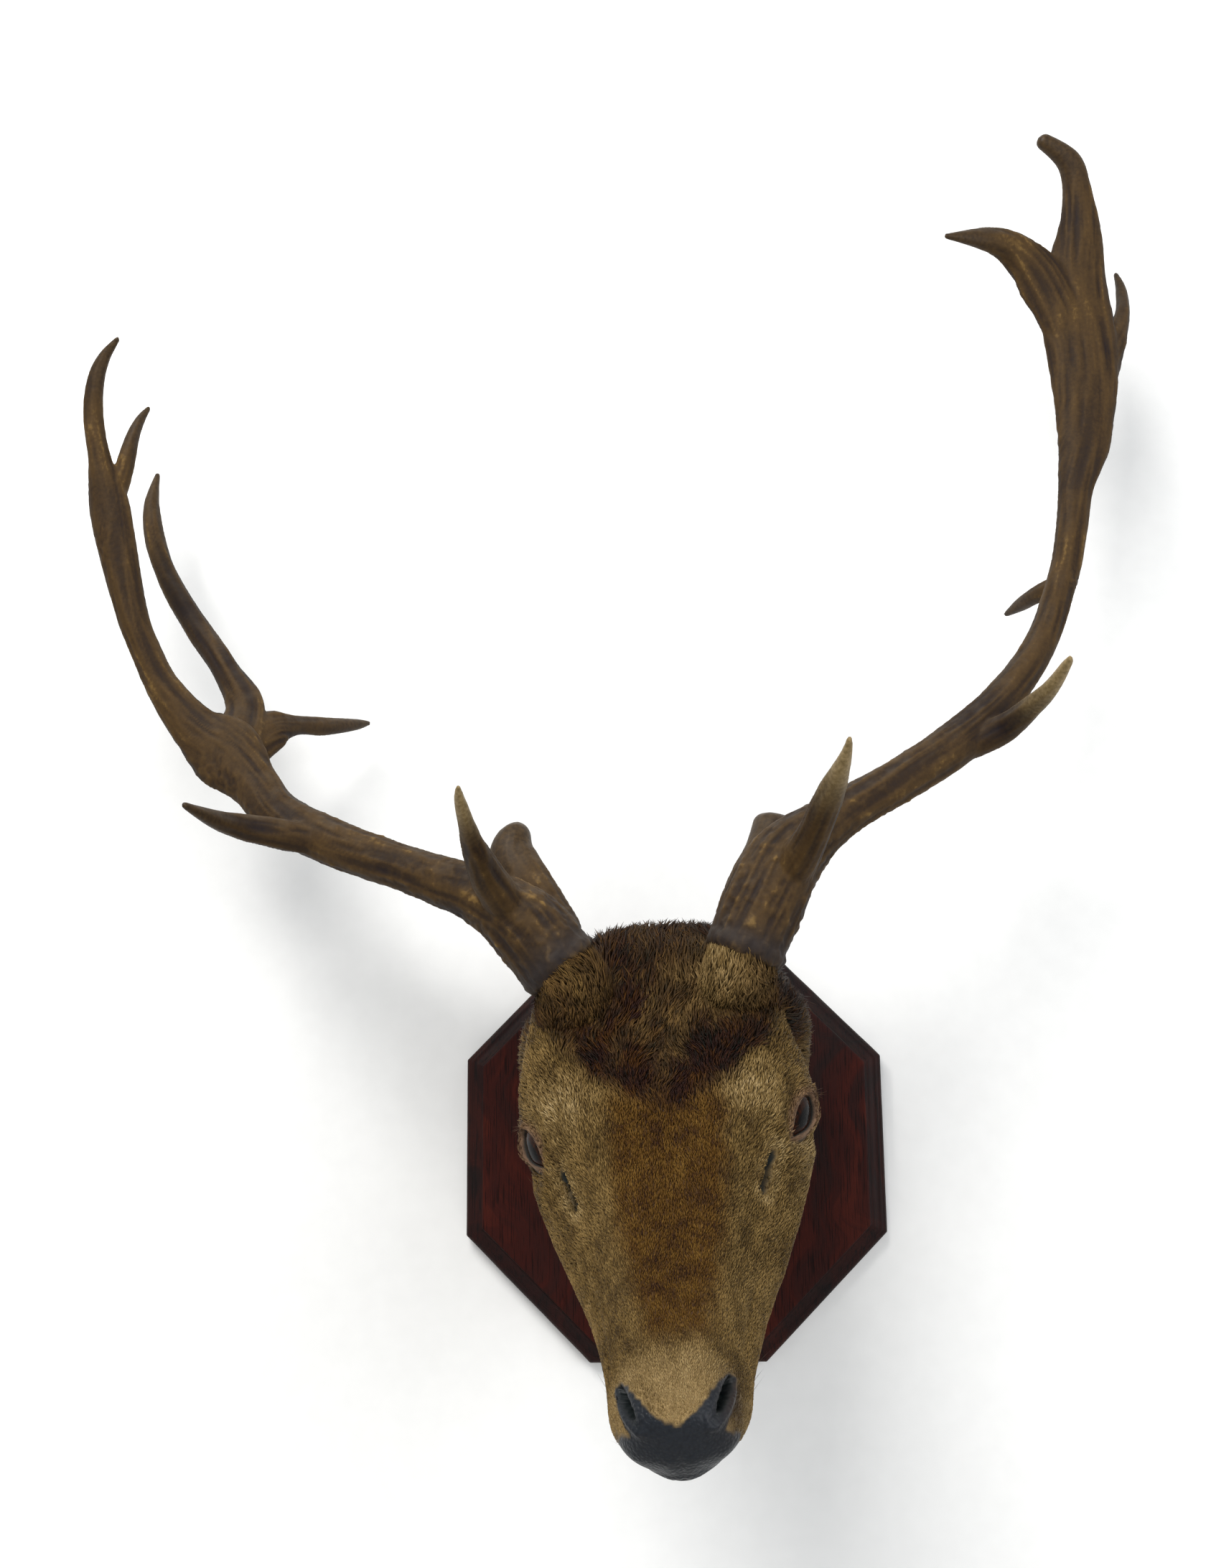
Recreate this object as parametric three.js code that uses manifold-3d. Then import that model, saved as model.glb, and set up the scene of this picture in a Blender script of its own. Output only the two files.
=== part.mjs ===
// Stag's head with its antlers, mounted on an octagonal wooden shield.
// Millimetres. The origin is the centre of the shield's back face, which lies on the wall,
// +Z is up, and the head looks out towards -Y. "left" and "right" are as seen from the front.

import * as THREE from 'three';
import { mergeVertices } from 'three/addons/utils/BufferGeometryUtils.js';
import Module from 'manifold-3d';

const wasm = await Module();
wasm.setup();

// ---------------------------------------------------------------- driving dimensions

const GAP = 0.3; // clearance between neighbouring pieces

const BOARD = { across: 300, thick: 20, moulding: 12, step: 2.5 };

// the head: its nose tip, how far the nose points down, and how the head is turned and leans
const NOSE_TIP = { x: -2.4, y: -391, z: -138 };
const HEAD_PITCH = 38;
const HEAD_YAW = -3.4;
const HEAD_ROLL = -5;

// lengths measured back from the nose tip, where the head is divided
const NOSE_LENGTH = 30;
const MUZZLE_LENGTH = 176;
const MOUTH = { front: -44, rear: -66 };
const NECK_CUT = { topDepth: -150, top: 118, footDepth: -80, foot: -80 };

// the mount is not quite even: one eye sits a little higher than the other
const EYE = { side: 69, back: 235, rise: { left: -2, right: 3 }, radius: 19, forward: 22, up: 6 };
const EYE_OPENING = { long: 20, high: 13.5, inner: 0.85, outer: 1.15 };
const NOSTRIL = { side: 25, back: 9, rise: -15, long: 11, wide: 5, splay: 38 };

const BURR = { height: 13, radius: 29, lumps: 8, lump: 1.6 };
const PEDICLE = { top: 24, waist: 28, foot: 30 };

// ---------------------------------------------------------------- small tools

const radians = THREE.MathUtils.degToRad;
const vec = (x, y, z) => new THREE.Vector3(x, y, z);

// a smooth curve through rows of numbers; t counts the rows
function rowAt(rows, t) {
  const last = rows.length - 1;
  const i = Math.min(Math.floor(t), last - 1);
  const f = t - i;
  const before = rows[Math.max(i - 1, 0)];
  const after = rows[Math.min(i + 2, last)];
  return rows[i].map((p, k) => {
    const q = rows[i + 1][k];
    const m0 = (q - before[k]) / 2;
    const m1 = (after[k] - p) / 2;
    const a = 2 * (p - q) + m0 + m1;
    const b = 3 * (q - p) - 2 * m0 - m1;
    return ((a * f + b) * f + m0) * f + p;
  });
}

// a closed body from rings of points, each ring the same count, with a fan at each end
function bodyFromRings(rings) {
  const sides = rings[0].length;
  const positions = rings.flat().flatMap((p) => [p.x, p.y, p.z]);
  const faces = [];
  for (let r = 0; r < rings.length - 1; r += 1) {
    for (let s = 0; s < sides; s += 1) {
      const a = r * sides + s;
      const b = r * sides + ((s + 1) % sides);
      faces.push(a, b, b + sides, a, b + sides, a + sides);
    }
  }
  for (const [ring, flip] of [[0, true], [rings.length - 1, false]]) {
    const sum = rings[ring].reduce((total, p) => total.add(p), vec(0, 0, 0));
    const centre = sum.divideScalar(sides);
    const hub = positions.length / 3;
    positions.push(centre.x, centre.y, centre.z);
    for (let s = 0; s < sides; s += 1) {
      const a = ring * sides + s;
      const b = ring * sides + ((s + 1) % sides);
      faces.push(hub, flip ? b : a, flip ? a : b);
    }
  }
  const geometry = new THREE.BufferGeometry();
  geometry.setAttribute('position', new THREE.Float32BufferAttribute(positions, 3));
  geometry.setIndex(faces);
  if (signedVolume(geometry) < 0) {
    geometry.setIndex(faces.map((_, n) => faces[n - (n % 3) + (2 - (n % 3))]));
  }
  return geometry;
}

function signedVolume(geometry) {
  const p = geometry.attributes.position;
  const index = geometry.index.array;
  let six = 0;
  for (let n = 0; n < index.length; n += 3) {
    const [a, b, c] = [0, 1, 2].map((k) => vec(0, 0, 0).fromBufferAttribute(p, index[n + k]));
    six += a.dot(b.cross(c));
  }
  return six / 6;
}

function toSolid(geometry) {
  const bare = geometry.clone();
  bare.deleteAttribute('normal');
  bare.deleteAttribute('uv');
  const merged = mergeVertices(bare, 1e-4);
  return new wasm.Manifold(new wasm.Mesh({
    numProp: 3,
    vertProperties: new Float32Array(merged.attributes.position.array),
    triVerts: new Uint32Array(merged.index.array),
  }));
}

function toGeometry(solid) {
  const mesh = solid.getMesh();
  const geometry = new THREE.BufferGeometry();
  geometry.setAttribute('position', new THREE.Float32BufferAttribute(mesh.vertProperties, 3));
  geometry.setIndex(Array.from(mesh.triVerts));
  geometry.computeVertexNormals();
  return geometry;
}

// everything on the side of a plane that its normal points to
function halfSpace(point, normal) {
  const size = 2000;
  const turn = new THREE.Quaternion().setFromUnitVectors(vec(0, 0, 1), normal.clone().normalize());
  const middle = point.clone().addScaledVector(normal.clone().normalize(), size / 2);
  const box = new THREE.BoxGeometry(size, size, size);
  box.applyMatrix4(new THREE.Matrix4().compose(middle, turn, vec(1, 1, 1)));
  return toSolid(box);
}

// the two parts of a solid on either side of a plane, with the clearance between them
function partAt(solid, point, normal) {
  const unit = normal.clone().normalize();
  const ahead = solid.intersect(halfSpace(point.clone().addScaledVector(unit, GAP / 2), unit));
  const back = unit.clone().negate();
  const behind = solid.intersect(halfSpace(point.clone().addScaledVector(back, GAP / 2), back));
  return [ahead, behind];
}

// ---------------------------------------------------------------- finishes

const finish = (color, roughness) => () => new THREE.MeshStandardMaterial({
  color,
  roughness,
  metalness: 0,
});
const coat = finish('#6f5a3a', 0.95);
const bareNose = finish('#26262a', 0.45);
const glassEye = finish('#160d08', 0.08);
const antler = finish('#5f4a33', 0.7);
const mahogany = finish('#3d1a1c', 0.4);

const mount = new THREE.Group();
function addPiece(name, geometry, material) {
  const mesh = new THREE.Mesh(geometry, material());
  mesh.name = name;
  mount.add(mesh);
}

// ---------------------------------------------------------------- the shield

// an octagon turned about its middle, with a moulded front edge and a flat field
function boardGeometry() {
  const corner = BOARD.across / 2 / Math.cos(Math.PI / 8);
  const shoulder = BOARD.thick - 2 * BOARD.step;
  const profile = [
    [0, 0],
    [corner, 0],
    [corner, shoulder - BOARD.moulding / 3],
    [corner - BOARD.moulding / 2, shoulder],
    [corner - BOARD.moulding, shoulder + BOARD.step],
    [corner - BOARD.moulding * 1.15, BOARD.thick],
    [0, BOARD.thick],
  ].map(([r, h]) => new THREE.Vector2(r, h));
  const geometry = new THREE.LatheGeometry(profile, 8, Math.PI / 8);
  geometry.rotateX(Math.PI);
  return geometry;
}

addPiece('board', toGeometry(toSolid(boardGeometry())), mahogany);

// ---------------------------------------------------------------- head and neck

// Ribs across the head, square to its long axis: distance back from the nose tip, then
// crown and throat heights from that axis, and three points down each side as half
// width and height: the shoulder of the crown, the widest point, and the jaw.
const HEAD_RIBS = [
  // back, crown, throat, shoulder w, h,  widest w, h,  jaw w, h
  [0, -12, -40, 10, -16, 17, -27, 7.5, -36.5],
  [4, -5, -46, 15, -9, 24.5, -28.5, 10.5, -41.5],
  [12, 0, -51, 19, -4, 30.5, -29, 13, -46.5],
  [26, 5, -56.5, 22, 0, 35, -30.5, 16.5, -52.5],
  [45, 9, -63, 23, 3, 38, -33, 21, -58],
  [72, 13, -71, 24, 7, 42, -36, 26, -62],
  [106, 19, -79, 27, 12, 48.5, -38, 33, -68],
  [144, 26, -89, 33, 19, 60, -36, 41, -76],
  [178, 32, -100, 43, 27, 72, -27, 48, -85],
  [207, 37, -110, 56, 33, 83, -13, 52, -92],
  [232, 43, -118, 64, 39, 91, 0, 54, -98],
  [252, 49, -124, 66, 45, 92, 6, 54, -102],
  [276, 58, -128, 68, 52, 89, 14, 54, -104],
];

// Ribs of the neck, from behind the head to the shield: depth and height of the rib's
// middle, its lean, then the same measures as above.
const NECK_RIBS = [
  [-150, 51, 26, 80, -136, 66, 63, 87, 14, 56, -112],
  [-124, 53, 17, 91, -144, 59, 75, 86, 4, 57, -118],
  [-76, 49, 8, 76, -150, 52, 57, 80, -26, 56, -120],
  [-(BOARD.thick + GAP), 43, 0, 70, -156, 47, 51, 77, -38, 54, -124],
];

const pitch = radians(HEAD_PITCH);

// each rib as depth, height, lean and how fully it follows the head's turn, then its measures
const RIBS = [
  ...HEAD_RIBS.map(([back, ...measures]) => [
    NOSE_TIP.y + back * Math.cos(pitch),
    NOSE_TIP.z + back * Math.sin(pitch),
    HEAD_PITCH,
    1,
    ...measures,
  ]),
  ...NECK_RIBS.map(([depth, height, lean, ...measures], n) => [
    depth,
    height,
    lean,
    1 - (n + 1) / NECK_RIBS.length,
    ...measures,
  ]),
];

// a point of the upright head turned to its yaw and roll, by the share given
function turned(x, y, z, share) {
  const yaw = radians(HEAD_YAW * share);
  const roll = radians(HEAD_ROLL * share);
  const point = vec(x, y - NOSE_TIP.y, z - NOSE_TIP.z);
  point.applyAxisAngle(vec(0, 0, 1), yaw).applyAxisAngle(vec(0, 1, 0), roll);
  return point.add(vec(NOSE_TIP.x, NOSE_TIP.y, NOSE_TIP.z));
}

// the place of a point given across, back from the nose tip and up from the head's axis
function inHead(side, back, rise) {
  const y = NOSE_TIP.y + back * Math.cos(pitch) - rise * Math.sin(pitch);
  const z = NOSE_TIP.z + back * Math.sin(pitch) + rise * Math.cos(pitch);
  return turned(side, y, z, 1);
}

const headBack = inHead(0, 1, 0).sub(inHead(0, 0, 0));
const headUp = inHead(0, 0, 1).sub(inHead(0, 0, 0));

// the coat's outline at one rib, swelled by a clearance
function ribRing(u, count, swell) {
  const [depth, height, lean, share, crown, throat, sw, sh, ww, wh, jw, jh] = rowAt(RIBS, u);
  const half = [[0, crown], [sw, sh], [ww, wh], [jw, jh], [0, throat]];
  const loop = [...half, ...half.slice(1, 4).reverse().map(([w, h]) => [-w, h])];
  const corners = loop.map(([w, h]) => vec(w, h, 0));
  const curve = new THREE.CatmullRomCurve3(corners, true, 'catmullrom', 0.5);
  const middle = (crown + throat) / 2;
  const up = radians(lean);
  return Array.from({ length: count }, (_, n) => {
    const p = curve.getPoint(n / count);
    const out = vec(p.x, p.y - middle, 0).setLength(swell);
    const rise = p.y + out.y;
    return turned(p.x + out.x, depth - rise * Math.sin(up), height + rise * Math.cos(up), share);
  });
}

function bodyLoft(swell, rings, count) {
  const last = RIBS.length - 1;
  const outlines = Array.from({ length: rings + 1 }, (_, n) => ribRing((last * n) / rings, count, swell));
  return bodyFromRings(outlines);
}

const RING_SIDES = 26;
const RING_COUNT = 32;
const flesh = toSolid(bodyLoft(0, RING_COUNT, RING_SIDES));

// ---------------------------------------------------------------- limbs of antler and ear

// A tapering limb: rows of across, depth, height, half width and half thickness. The
// thickness lies along "deep". The ends "from" and "to" are counted in rows, and an end in
// mid run is drawn in by half the clearance. "swell" grows the limb all round.
function limb(rows, options = {}) {
  const { deep = vec(0, 1, 0), sides = 8, perRow = 1.6, swell = 0 } = options;
  const { from = 0, to = rows.length - 1 } = options;
  const pointAt = (t) => vec(...rowAt(rows, t));
  const steps = Math.max(2, Math.round((to - from) * perRow));
  const nudge = 0.01;
  const rings = Array.from({ length: steps + 1 }, (_, n) => {
    const t = from + ((to - from) * n) / steps;
    const [x, y, z, wide, thick] = rowAt(rows, t);
    const ahead = pointAt(Math.min(t + nudge, rows.length - 1));
    const along = ahead.sub(pointAt(Math.max(t - nudge, 0))).normalize();
    const depth = deep.clone().addScaledVector(along, -deep.dot(along)).normalize();
    const width = new THREE.Vector3().crossVectors(along, depth);
    const centre = vec(x, y, z);
    const drawnIn = GAP / 2 - swell;
    if (n === 0 && from > 0) {
      centre.addScaledVector(along, drawnIn);
    }
    if (n === steps && to < rows.length - 1) {
      centre.addScaledVector(along, -drawnIn);
    }
    return Array.from({ length: sides }, (_side, k) => {
      const turn = (2 * Math.PI * k) / sides;
      return centre.clone()
        .addScaledVector(width, (wide + swell) * Math.cos(turn))
        .addScaledVector(depth, (thick + swell) * Math.sin(turn));
    });
  });
  return bodyFromRings(rings);
}

// ---------------------------------------------------------------- antlers

// Each antler has one main run from its burr to its highest point, divided into named
// lengths, and tines that branch from it. "lengths" and "from" count the rows of the run.
const SIDEWAYS = vec(1, 0, 0);
const ANTLERS = {
  left: {
    run: [
      // across, depth, height, half width, half thickness
      [-71, -203, 110, 25, 24],
      [-91, -203, 134, 25, 22],
      [-121, -197, 155, 18.5, 17],
      [-170, -182, 175.5, 15, 13.5],
      [-226, -160, 199, 15.6, 12],
      [-264.5, -145, 221, 15.8, 11],
      [-284, -134, 244, 17, 10],
      [-306, -128, 268, 25.5, 9.5],
      [-330, -126, 288, 17, 10],
      [-352.5, -128, 317, 11.5, 10],
      [-366, -132, 345, 10.5, 10],
      [-375, -137, 371, 11.2, 9.5],
      [-385.5, -146, 421, 13.8, 8.5],
      [-390.5, -150, 448, 13.6, 8],
      [-396.5, -155, 476, 7.8, 7],
      [-401, -160, 507, 6.6, 6.2],
      [-399, -165, 530, 6, 5.5],
      [-392, -170, 546.5, 4.4, 4],
      [-380, -176, 558.5, 1.8, 1.8],
    ],
    lengths: {
      base: [0, 2.6],
      lower_beam: [2.6, 5],
      palm: [5, 9],
      upper_beam: [9, 13],
      main_tip: [13, 18],
    },
    tines: {
      brow_tine: {
        deep: SIDEWAYS,
        rows: [[-98, -206, 140, 13, 13], [-114, -232, 163.5, 12.5, 10.5],
          [-119.8, -268, 180, 6.2, 6.2], [-122.6, -300, 196, 3.8, 3.8], [-122, -314, 203, 1.4, 1.4]],
      },
      stub: {
        rows: [[-70, -197, 120, 20, 16], [-87, -186, 154, 17, 14], [-102, -176, 183, 16, 12],
          [-101, -170, 202, 9.8, 9.5], [-101.5, -168, 207.5, 5, 5]],
      },
      trez_tine: {
        rows: [[-234, -158, 200, 10.5, 8.5], [-260, -168, 203.5, 10, 8.5],
          [-281, -182, 206, 8.2, 7.5], [-294.5, -204, 207.6, 6, 5.5], [-308, -228, 212.5, 2, 2]],
      },
      rear_tine: {
        rows: [[-302, -124, 274, 20, 8], [-299, -108, 306, 14, 7.5], [-317.3, -94, 338, 10, 7.5],
          [-347, -78, 380, 8.8, 7.5], [-369.5, -65, 417, 8, 7], [-384, -55, 450, 7.5, 6.5],
          [-390.5, -48, 482, 5.8, 5.6], [-388.5, -42, 511, 2, 2]],
      },
      thorn: {
        rows: [[-303, -123, 266, 18, 8], [-281, -107, 289, 15.5, 7], [-268, -92, 296, 7.6, 6.2],
          [-249, -62, 302.5, 6.4, 5.6], [-232, -40, 309, 4.4, 4.2], [-222.5, -30, 312.5, 1.5, 1.5]],
      },
      second_tip: {
        rows: [[-388, -150, 438, 6.5, 6.5], [-381.5, -147, 471, 6.6, 6.2],
          [-377.5, -145, 495, 5, 5], [-373, -142, 511, 3.7, 3.7], [-367, -140, 522, 1.6, 1.6]],
      },
    },
  },
  right: {
    run: [
      [47, -208, 118, 24, 23],
      [59, -209, 147, 26, 21],
      [76, -205, 177, 23, 18],
      [108.5, -198, 203, 15.6, 15],
      [156, -184, 232, 14.4, 14],
      [196.8, -172, 261, 14.8, 13],
      [231.5, -162, 296.5, 12, 12],
      [256, -152, 333.5, 10.6, 10.5],
      [274.5, -142, 380.5, 10.1, 9.5],
      [283.3, -136, 416, 10.6, 9],
      [289.2, -131, 447, 12.2, 8.5],
      [298, -126, 481, 18, 8.5],
      [302.5, -121, 516, 22, 8.5],
      [304, -117, 551, 25, 8.5],
      [302.5, -115, 586, 26, 8.5],
      [304, -114, 620, 21.5, 9],
      [307.8, -116, 650, 16, 9],
      [307.6, -120, 682, 10.2, 8.5],
      [301, -126, 703.4, 9, 7.5],
      [279, -132, 719, 5.6, 5],
    ],
    lengths: {
      base: [0, 2.6],
      lower_beam: [2.6, 6],
      middle_beam: [6, 10],
      palm: [10, 15.5],
      top_tine: [15.5, 19],
    },
    tines: {
      brow_tine: {
        deep: SIDEWAYS,
        rows: [[72, -206, 160, 15, 14], [86, -232, 180, 12, 11], [97.2, -266, 203, 9.2, 8.5],
          [104.4, -298, 220, 4, 4], [106, -313, 228, 1.6, 1.6]],
      },
      stub: {
        rows: [[45, -204, 128, 20, 16], [52.5, -195, 158, 16.5, 15], [64, -184, 184, 15, 13],
          [70, -177, 204.5, 14.5, 11], [71, -176, 209.5, 12, 8]],
      },
      trez_tine: {
        rows: [[199, -172, 253.5, 10, 9], [217, -180, 261.5, 9.5, 9], [227, -192, 266.5, 8.2, 8.2],
          [241.3, -224, 277, 5.8, 5.8], [247.6, -248, 286, 3.5, 3.5], [249, -258, 289, 1.6, 1.6]],
      },
      inner_thorn: {
        rows: [[276, -142, 374, 8.5, 8], [260, -122, 373, 6.2, 6], [251, -104, 371, 4.8, 4.6],
          [242.5, -90, 368, 1.8, 1.8]],
      },
      inner_tine: {
        rows: [[301, -116, 558, 15, 7], [281.8, -118, 606, 19.5, 8], [262.5, -124, 629, 15.2, 7.5],
          [240, -136, 635.6, 10, 6.5], [202.5, -156, 629.5, 1.8, 1.8]],
      },
      back_tine: {
        rows: [[312, -116, 536, 16, 6.5], [327, -110, 566, 10.5, 6], [339.5, -98, 593, 5.6, 5.5],
          [343, -88, 618, 4.2, 4], [341, -82, 636, 1.8, 1.8]],
      },
    },
  },
};

function burrPose({ run }) {
  const centre = vec(...run[0]);
  const unit = vec(...run[1]).sub(centre).normalize();
  return { centre, unit, turn: new THREE.Quaternion().setFromUnitVectors(vec(0, 1, 0), unit) };
}

// a knobbly ring of bone round the foot of the antler, grown all round by "swell"
function burrGeometry(side, swell = 0) {
  const { centre, turn } = burrPose(side);
  const place = new THREE.Matrix4().compose(centre, turn, vec(1, 1, 1));
  const profile = [[-1, 0.8], [-0.45, 1], [0.35, 0.97], [1, 0.82]];
  const sides = 3 * BURR.lumps;
  return bodyFromRings(profile.map(([height, share]) => Array.from({ length: sides }, (_, k) => {
    const turnBy = (2 * Math.PI * k) / sides;
    const radius = BURR.radius * share + BURR.lump * Math.cos(BURR.lumps * turnBy) + swell;
    const rise = height * (BURR.height / 2 + swell);
    const point = vec(radius * Math.cos(turnBy), rise, radius * Math.sin(turnBy));
    return point.applyMatrix4(place);
  })));
}

for (const [hand, side] of Object.entries(ANTLERS)) {
  const { centre, unit } = burrPose(side);
  const burrTop = halfSpace(centre.clone().addScaledVector(unit, BURR.height / 2 + GAP), unit);
  addPiece(`antler_${hand}_burr`, toGeometry(toSolid(burrGeometry(side))), antler);
  const taken = [];
  for (const [name, [from, to]] of Object.entries(side.lengths)) {
    const ends = { sides: 12, perRow: 1.4, from, to };
    const length = toSolid(limb(side.run, ends)).intersect(burrTop);
    taken.push(toSolid(limb(side.run, { ...ends, swell: GAP })));
    addPiece(`antler_${hand}_${name}`, toGeometry(length), antler);
  }
  for (const [name, { rows, deep }] of Object.entries(side.tines)) {
    const bare = toSolid(limb(rows, { deep })).intersect(burrTop);
    const tine = taken.reduce((solid, other) => solid.subtract(other), bare);
    taken.push(toSolid(limb(rows, { deep, swell: GAP })));
    addPiece(`antler_${hand}_${name}`, toGeometry(tine), antler);
  }
}

// the pedicles: short stems of the skull that bend and spread into the head, under the burrs
function stem(side, hand) {
  const { centre, unit } = burrPose(side);
  const top = centre.clone().addScaledVector(unit, -BURR.height / 2 - GAP);
  const waist = inHead(hand * 50, 298, 52);
  const foot = inHead(hand * 42, 290, 24);
  const rows = [[centre, PEDICLE.top], [top, PEDICLE.top], [waist, PEDICLE.waist], [foot, PEDICLE.foot]]
    .map(([p, radius]) => [p.x, p.y, p.z, radius, radius]);
  return toSolid(limb(rows, { sides: 16 })).intersect(halfSpace(top, unit.clone().negate()));
}

const withStems = flesh.add(stem(ANTLERS.left, -1)).add(stem(ANTLERS.right, 1));

// the poll rises behind the burrs, and keeps clear of them
const burrRoom = Object.values(ANTLERS).map((side) => toSolid(burrGeometry(side, 0.8 * GAP)));
const skull = burrRoom.reduce((solid, room) => solid.subtract(room), withStems);

// eyes: glass balls in open sockets
function eyePose(side) {
  const rise = side < 0 ? EYE.rise.left : EYE.rise.right;
  const centre = inHead(side * EYE.side, EYE.back, rise);
  const tip = inHead(
    side * (EYE.side + Math.cos(radians(EYE.forward))),
    EYE.back - Math.sin(radians(EYE.forward)),
    rise + Math.sin(radians(EYE.up)),
  );
  const look = tip.sub(centre).normalize();
  const level = headBack.clone().addScaledVector(look, -headBack.dot(look)).normalize();
  const basis = new THREE.Matrix4().makeBasis(level, look, new THREE.Vector3().crossVectors(level, look));
  return basis.setPosition(centre);
}

function eyeBall(side, swell) {
  const ball = new THREE.SphereGeometry(EYE.radius + swell, 14, 8);
  return ball.applyMatrix4(eyePose(side));
}

// the socket follows the ball, and widens from it to the open air between the lids
function eyeSocket(side) {
  const reach = 40;
  const funnel = new THREE.CylinderGeometry(EYE_OPENING.outer, EYE_OPENING.inner, reach, 20);
  funnel.translate(0, reach / 2, 0);
  funnel.scale(EYE_OPENING.long, 1, EYE_OPENING.high);
  funnel.applyMatrix4(eyePose(side));
  return toSolid(eyeBall(side, GAP)).add(toSolid(funnel));
}

// nostrils: a slanting hollow each side of the bare nose, closing downwards to its middle
function nostril(side) {
  const hollow = new THREE.SphereGeometry(1, 8, 6);
  hollow.scale(NOSTRIL.wide, NOSTRIL.wide * 1.6, NOSTRIL.long);
  hollow.rotateX(radians(-HEAD_PITCH / 2));
  hollow.rotateY(side * radians(NOSTRIL.splay));
  const place = inHead(side * NOSTRIL.side, NOSTRIL.back, NOSTRIL.rise);
  hollow.translate(place.x, place.y, place.z);
  return toSolid(hollow);
}

const socketed = skull.subtract(eyeSocket(-1)).subtract(eyeSocket(1));
const breathing = socketed.subtract(nostril(-1)).subtract(nostril(1));

// thin cuts divide the body: face from cranium, lips from jaw, nose from muzzle, neck from head
const [rear, face] = partAt(breathing, inHead(0, MUZZLE_LENGTH, 0), headBack);
const mouthFall = (MOUTH.rear - MOUTH.front) / MUZZLE_LENGTH;
const mouthUp = headUp.clone().addScaledVector(headBack, -mouthFall);
const [upper, jaw] = partAt(face, inHead(0, 0, MOUTH.front), mouthUp);
const [muzzle, nose] = partAt(upper, inHead(0, NOSE_LENGTH, 0), headBack);
const neckTop = vec(0, NECK_CUT.topDepth, NECK_CUT.top);
const neckRise = vec(0, NECK_CUT.topDepth - NECK_CUT.footDepth, NECK_CUT.top - NECK_CUT.foot);
const [neck, cranium] = partAt(rear, neckTop, vec(0, neckRise.z, -neckRise.y));

addPiece('nose', toGeometry(nose), bareNose);
addPiece('muzzle', toGeometry(muzzle), coat);
addPiece('lower_jaw', toGeometry(jaw), coat);
addPiece('head', toGeometry(cranium), coat);
addPiece('neck', toGeometry(neck), coat);
addPiece('eye_left', toGeometry(toSolid(eyeBall(-1, 0))), glassEye);
addPiece('eye_right', toGeometry(toSolid(eyeBall(1, 0))), glassEye);

// ears, laid back along the neck behind the burrs, with their hollow sides turned to it;
// each row also says how fully it follows the head's turn
const EAR_ROWS = [
  [66, -184, 58, 15, 9, 1],
  [81, -166, 62, 20, 9, 1],
  [85, -140, 60, 25, 7, 0.8],
  [85, -105, 55, 26, 6, 0.5],
  [83, -70, 43, 21, 5, 0.3],
  [80, -46, 34, 13, 4, 0.1],
  [77, -30, 28, 3, 2, 0],
];

const clearFlesh = toSolid(bodyLoft(GAP, RING_COUNT, RING_SIDES));

function ear(side) {
  const rows = EAR_ROWS.map(([across, depth, height, wide, thick, share]) => {
    const p = turned(side * across, depth, height, share);
    return [p.x, p.y, p.z, wide, thick];
  });
  return toSolid(limb(rows, { deep: SIDEWAYS, sides: 10 })).subtract(clearFlesh);
}

addPiece('ear_left', toGeometry(ear(-1)), coat);
addPiece('ear_right', toGeometry(ear(1)), coat);

export default mount;
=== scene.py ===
import math

import bpy
import numpy as np
from mathutils import Matrix, Vector
from mathutils.bvhtree import BVHTree


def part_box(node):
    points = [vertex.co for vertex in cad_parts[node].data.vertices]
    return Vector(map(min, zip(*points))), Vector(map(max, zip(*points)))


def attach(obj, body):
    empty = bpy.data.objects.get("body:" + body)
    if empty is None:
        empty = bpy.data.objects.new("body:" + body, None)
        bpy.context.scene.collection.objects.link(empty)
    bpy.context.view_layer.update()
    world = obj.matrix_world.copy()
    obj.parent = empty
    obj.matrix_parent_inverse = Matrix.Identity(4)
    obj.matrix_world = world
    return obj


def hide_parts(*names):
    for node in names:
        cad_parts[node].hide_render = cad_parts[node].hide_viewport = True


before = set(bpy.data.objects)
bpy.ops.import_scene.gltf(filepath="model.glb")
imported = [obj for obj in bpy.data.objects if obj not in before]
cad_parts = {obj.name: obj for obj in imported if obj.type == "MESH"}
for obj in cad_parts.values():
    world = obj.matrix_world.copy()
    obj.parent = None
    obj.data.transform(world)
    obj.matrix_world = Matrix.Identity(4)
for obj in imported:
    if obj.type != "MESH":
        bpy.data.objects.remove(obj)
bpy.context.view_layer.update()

# ------------------------------------------------------------------ the shield
# One octagonal plank of hardwood, stained dark red-brown and varnished. A router has cut a
# quarter round and a hollow round its front edge. It hangs flat on the wall.

MM = 0.001


def srgb(red, green, blue):
    """A paint-chart colour, 0 to 255, as Blender's linear colour."""
    shares = (np.array([red, green, blue]) / 255 + 0.055) / 1.055
    return (*np.where(shares > 0.09, shares**2.4, shares * 1.055 / 12.92), 1.0)


def value_noise(places, size, seed=0):
    """Smooth random hills from -1 to 1 over rows of x, y, z; size is about one hill's width."""
    at = np.asarray(places, float) / size + 100.5 * (seed + 1)
    cell = np.floor(at).astype(np.int64)
    share = at - cell
    share = share * share * (3 - 2 * share)
    total = 0
    for corner in range(8):
        bits = np.array([corner & 1, corner >> 1 & 1, corner >> 2 & 1])
        keys = (cell + bits) @ np.array([73856093, 19349663, 83492791])
        keys = (keys ^ keys >> 13) * 1274126177 & 0xFFFFFFFF
        heights = ((keys ^ keys >> 16) & 0xFFFF) / 32767.5 - 1
        total = total + heights * np.prod(np.where(bits, share, 1 - share), axis=-1)
    return total


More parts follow.
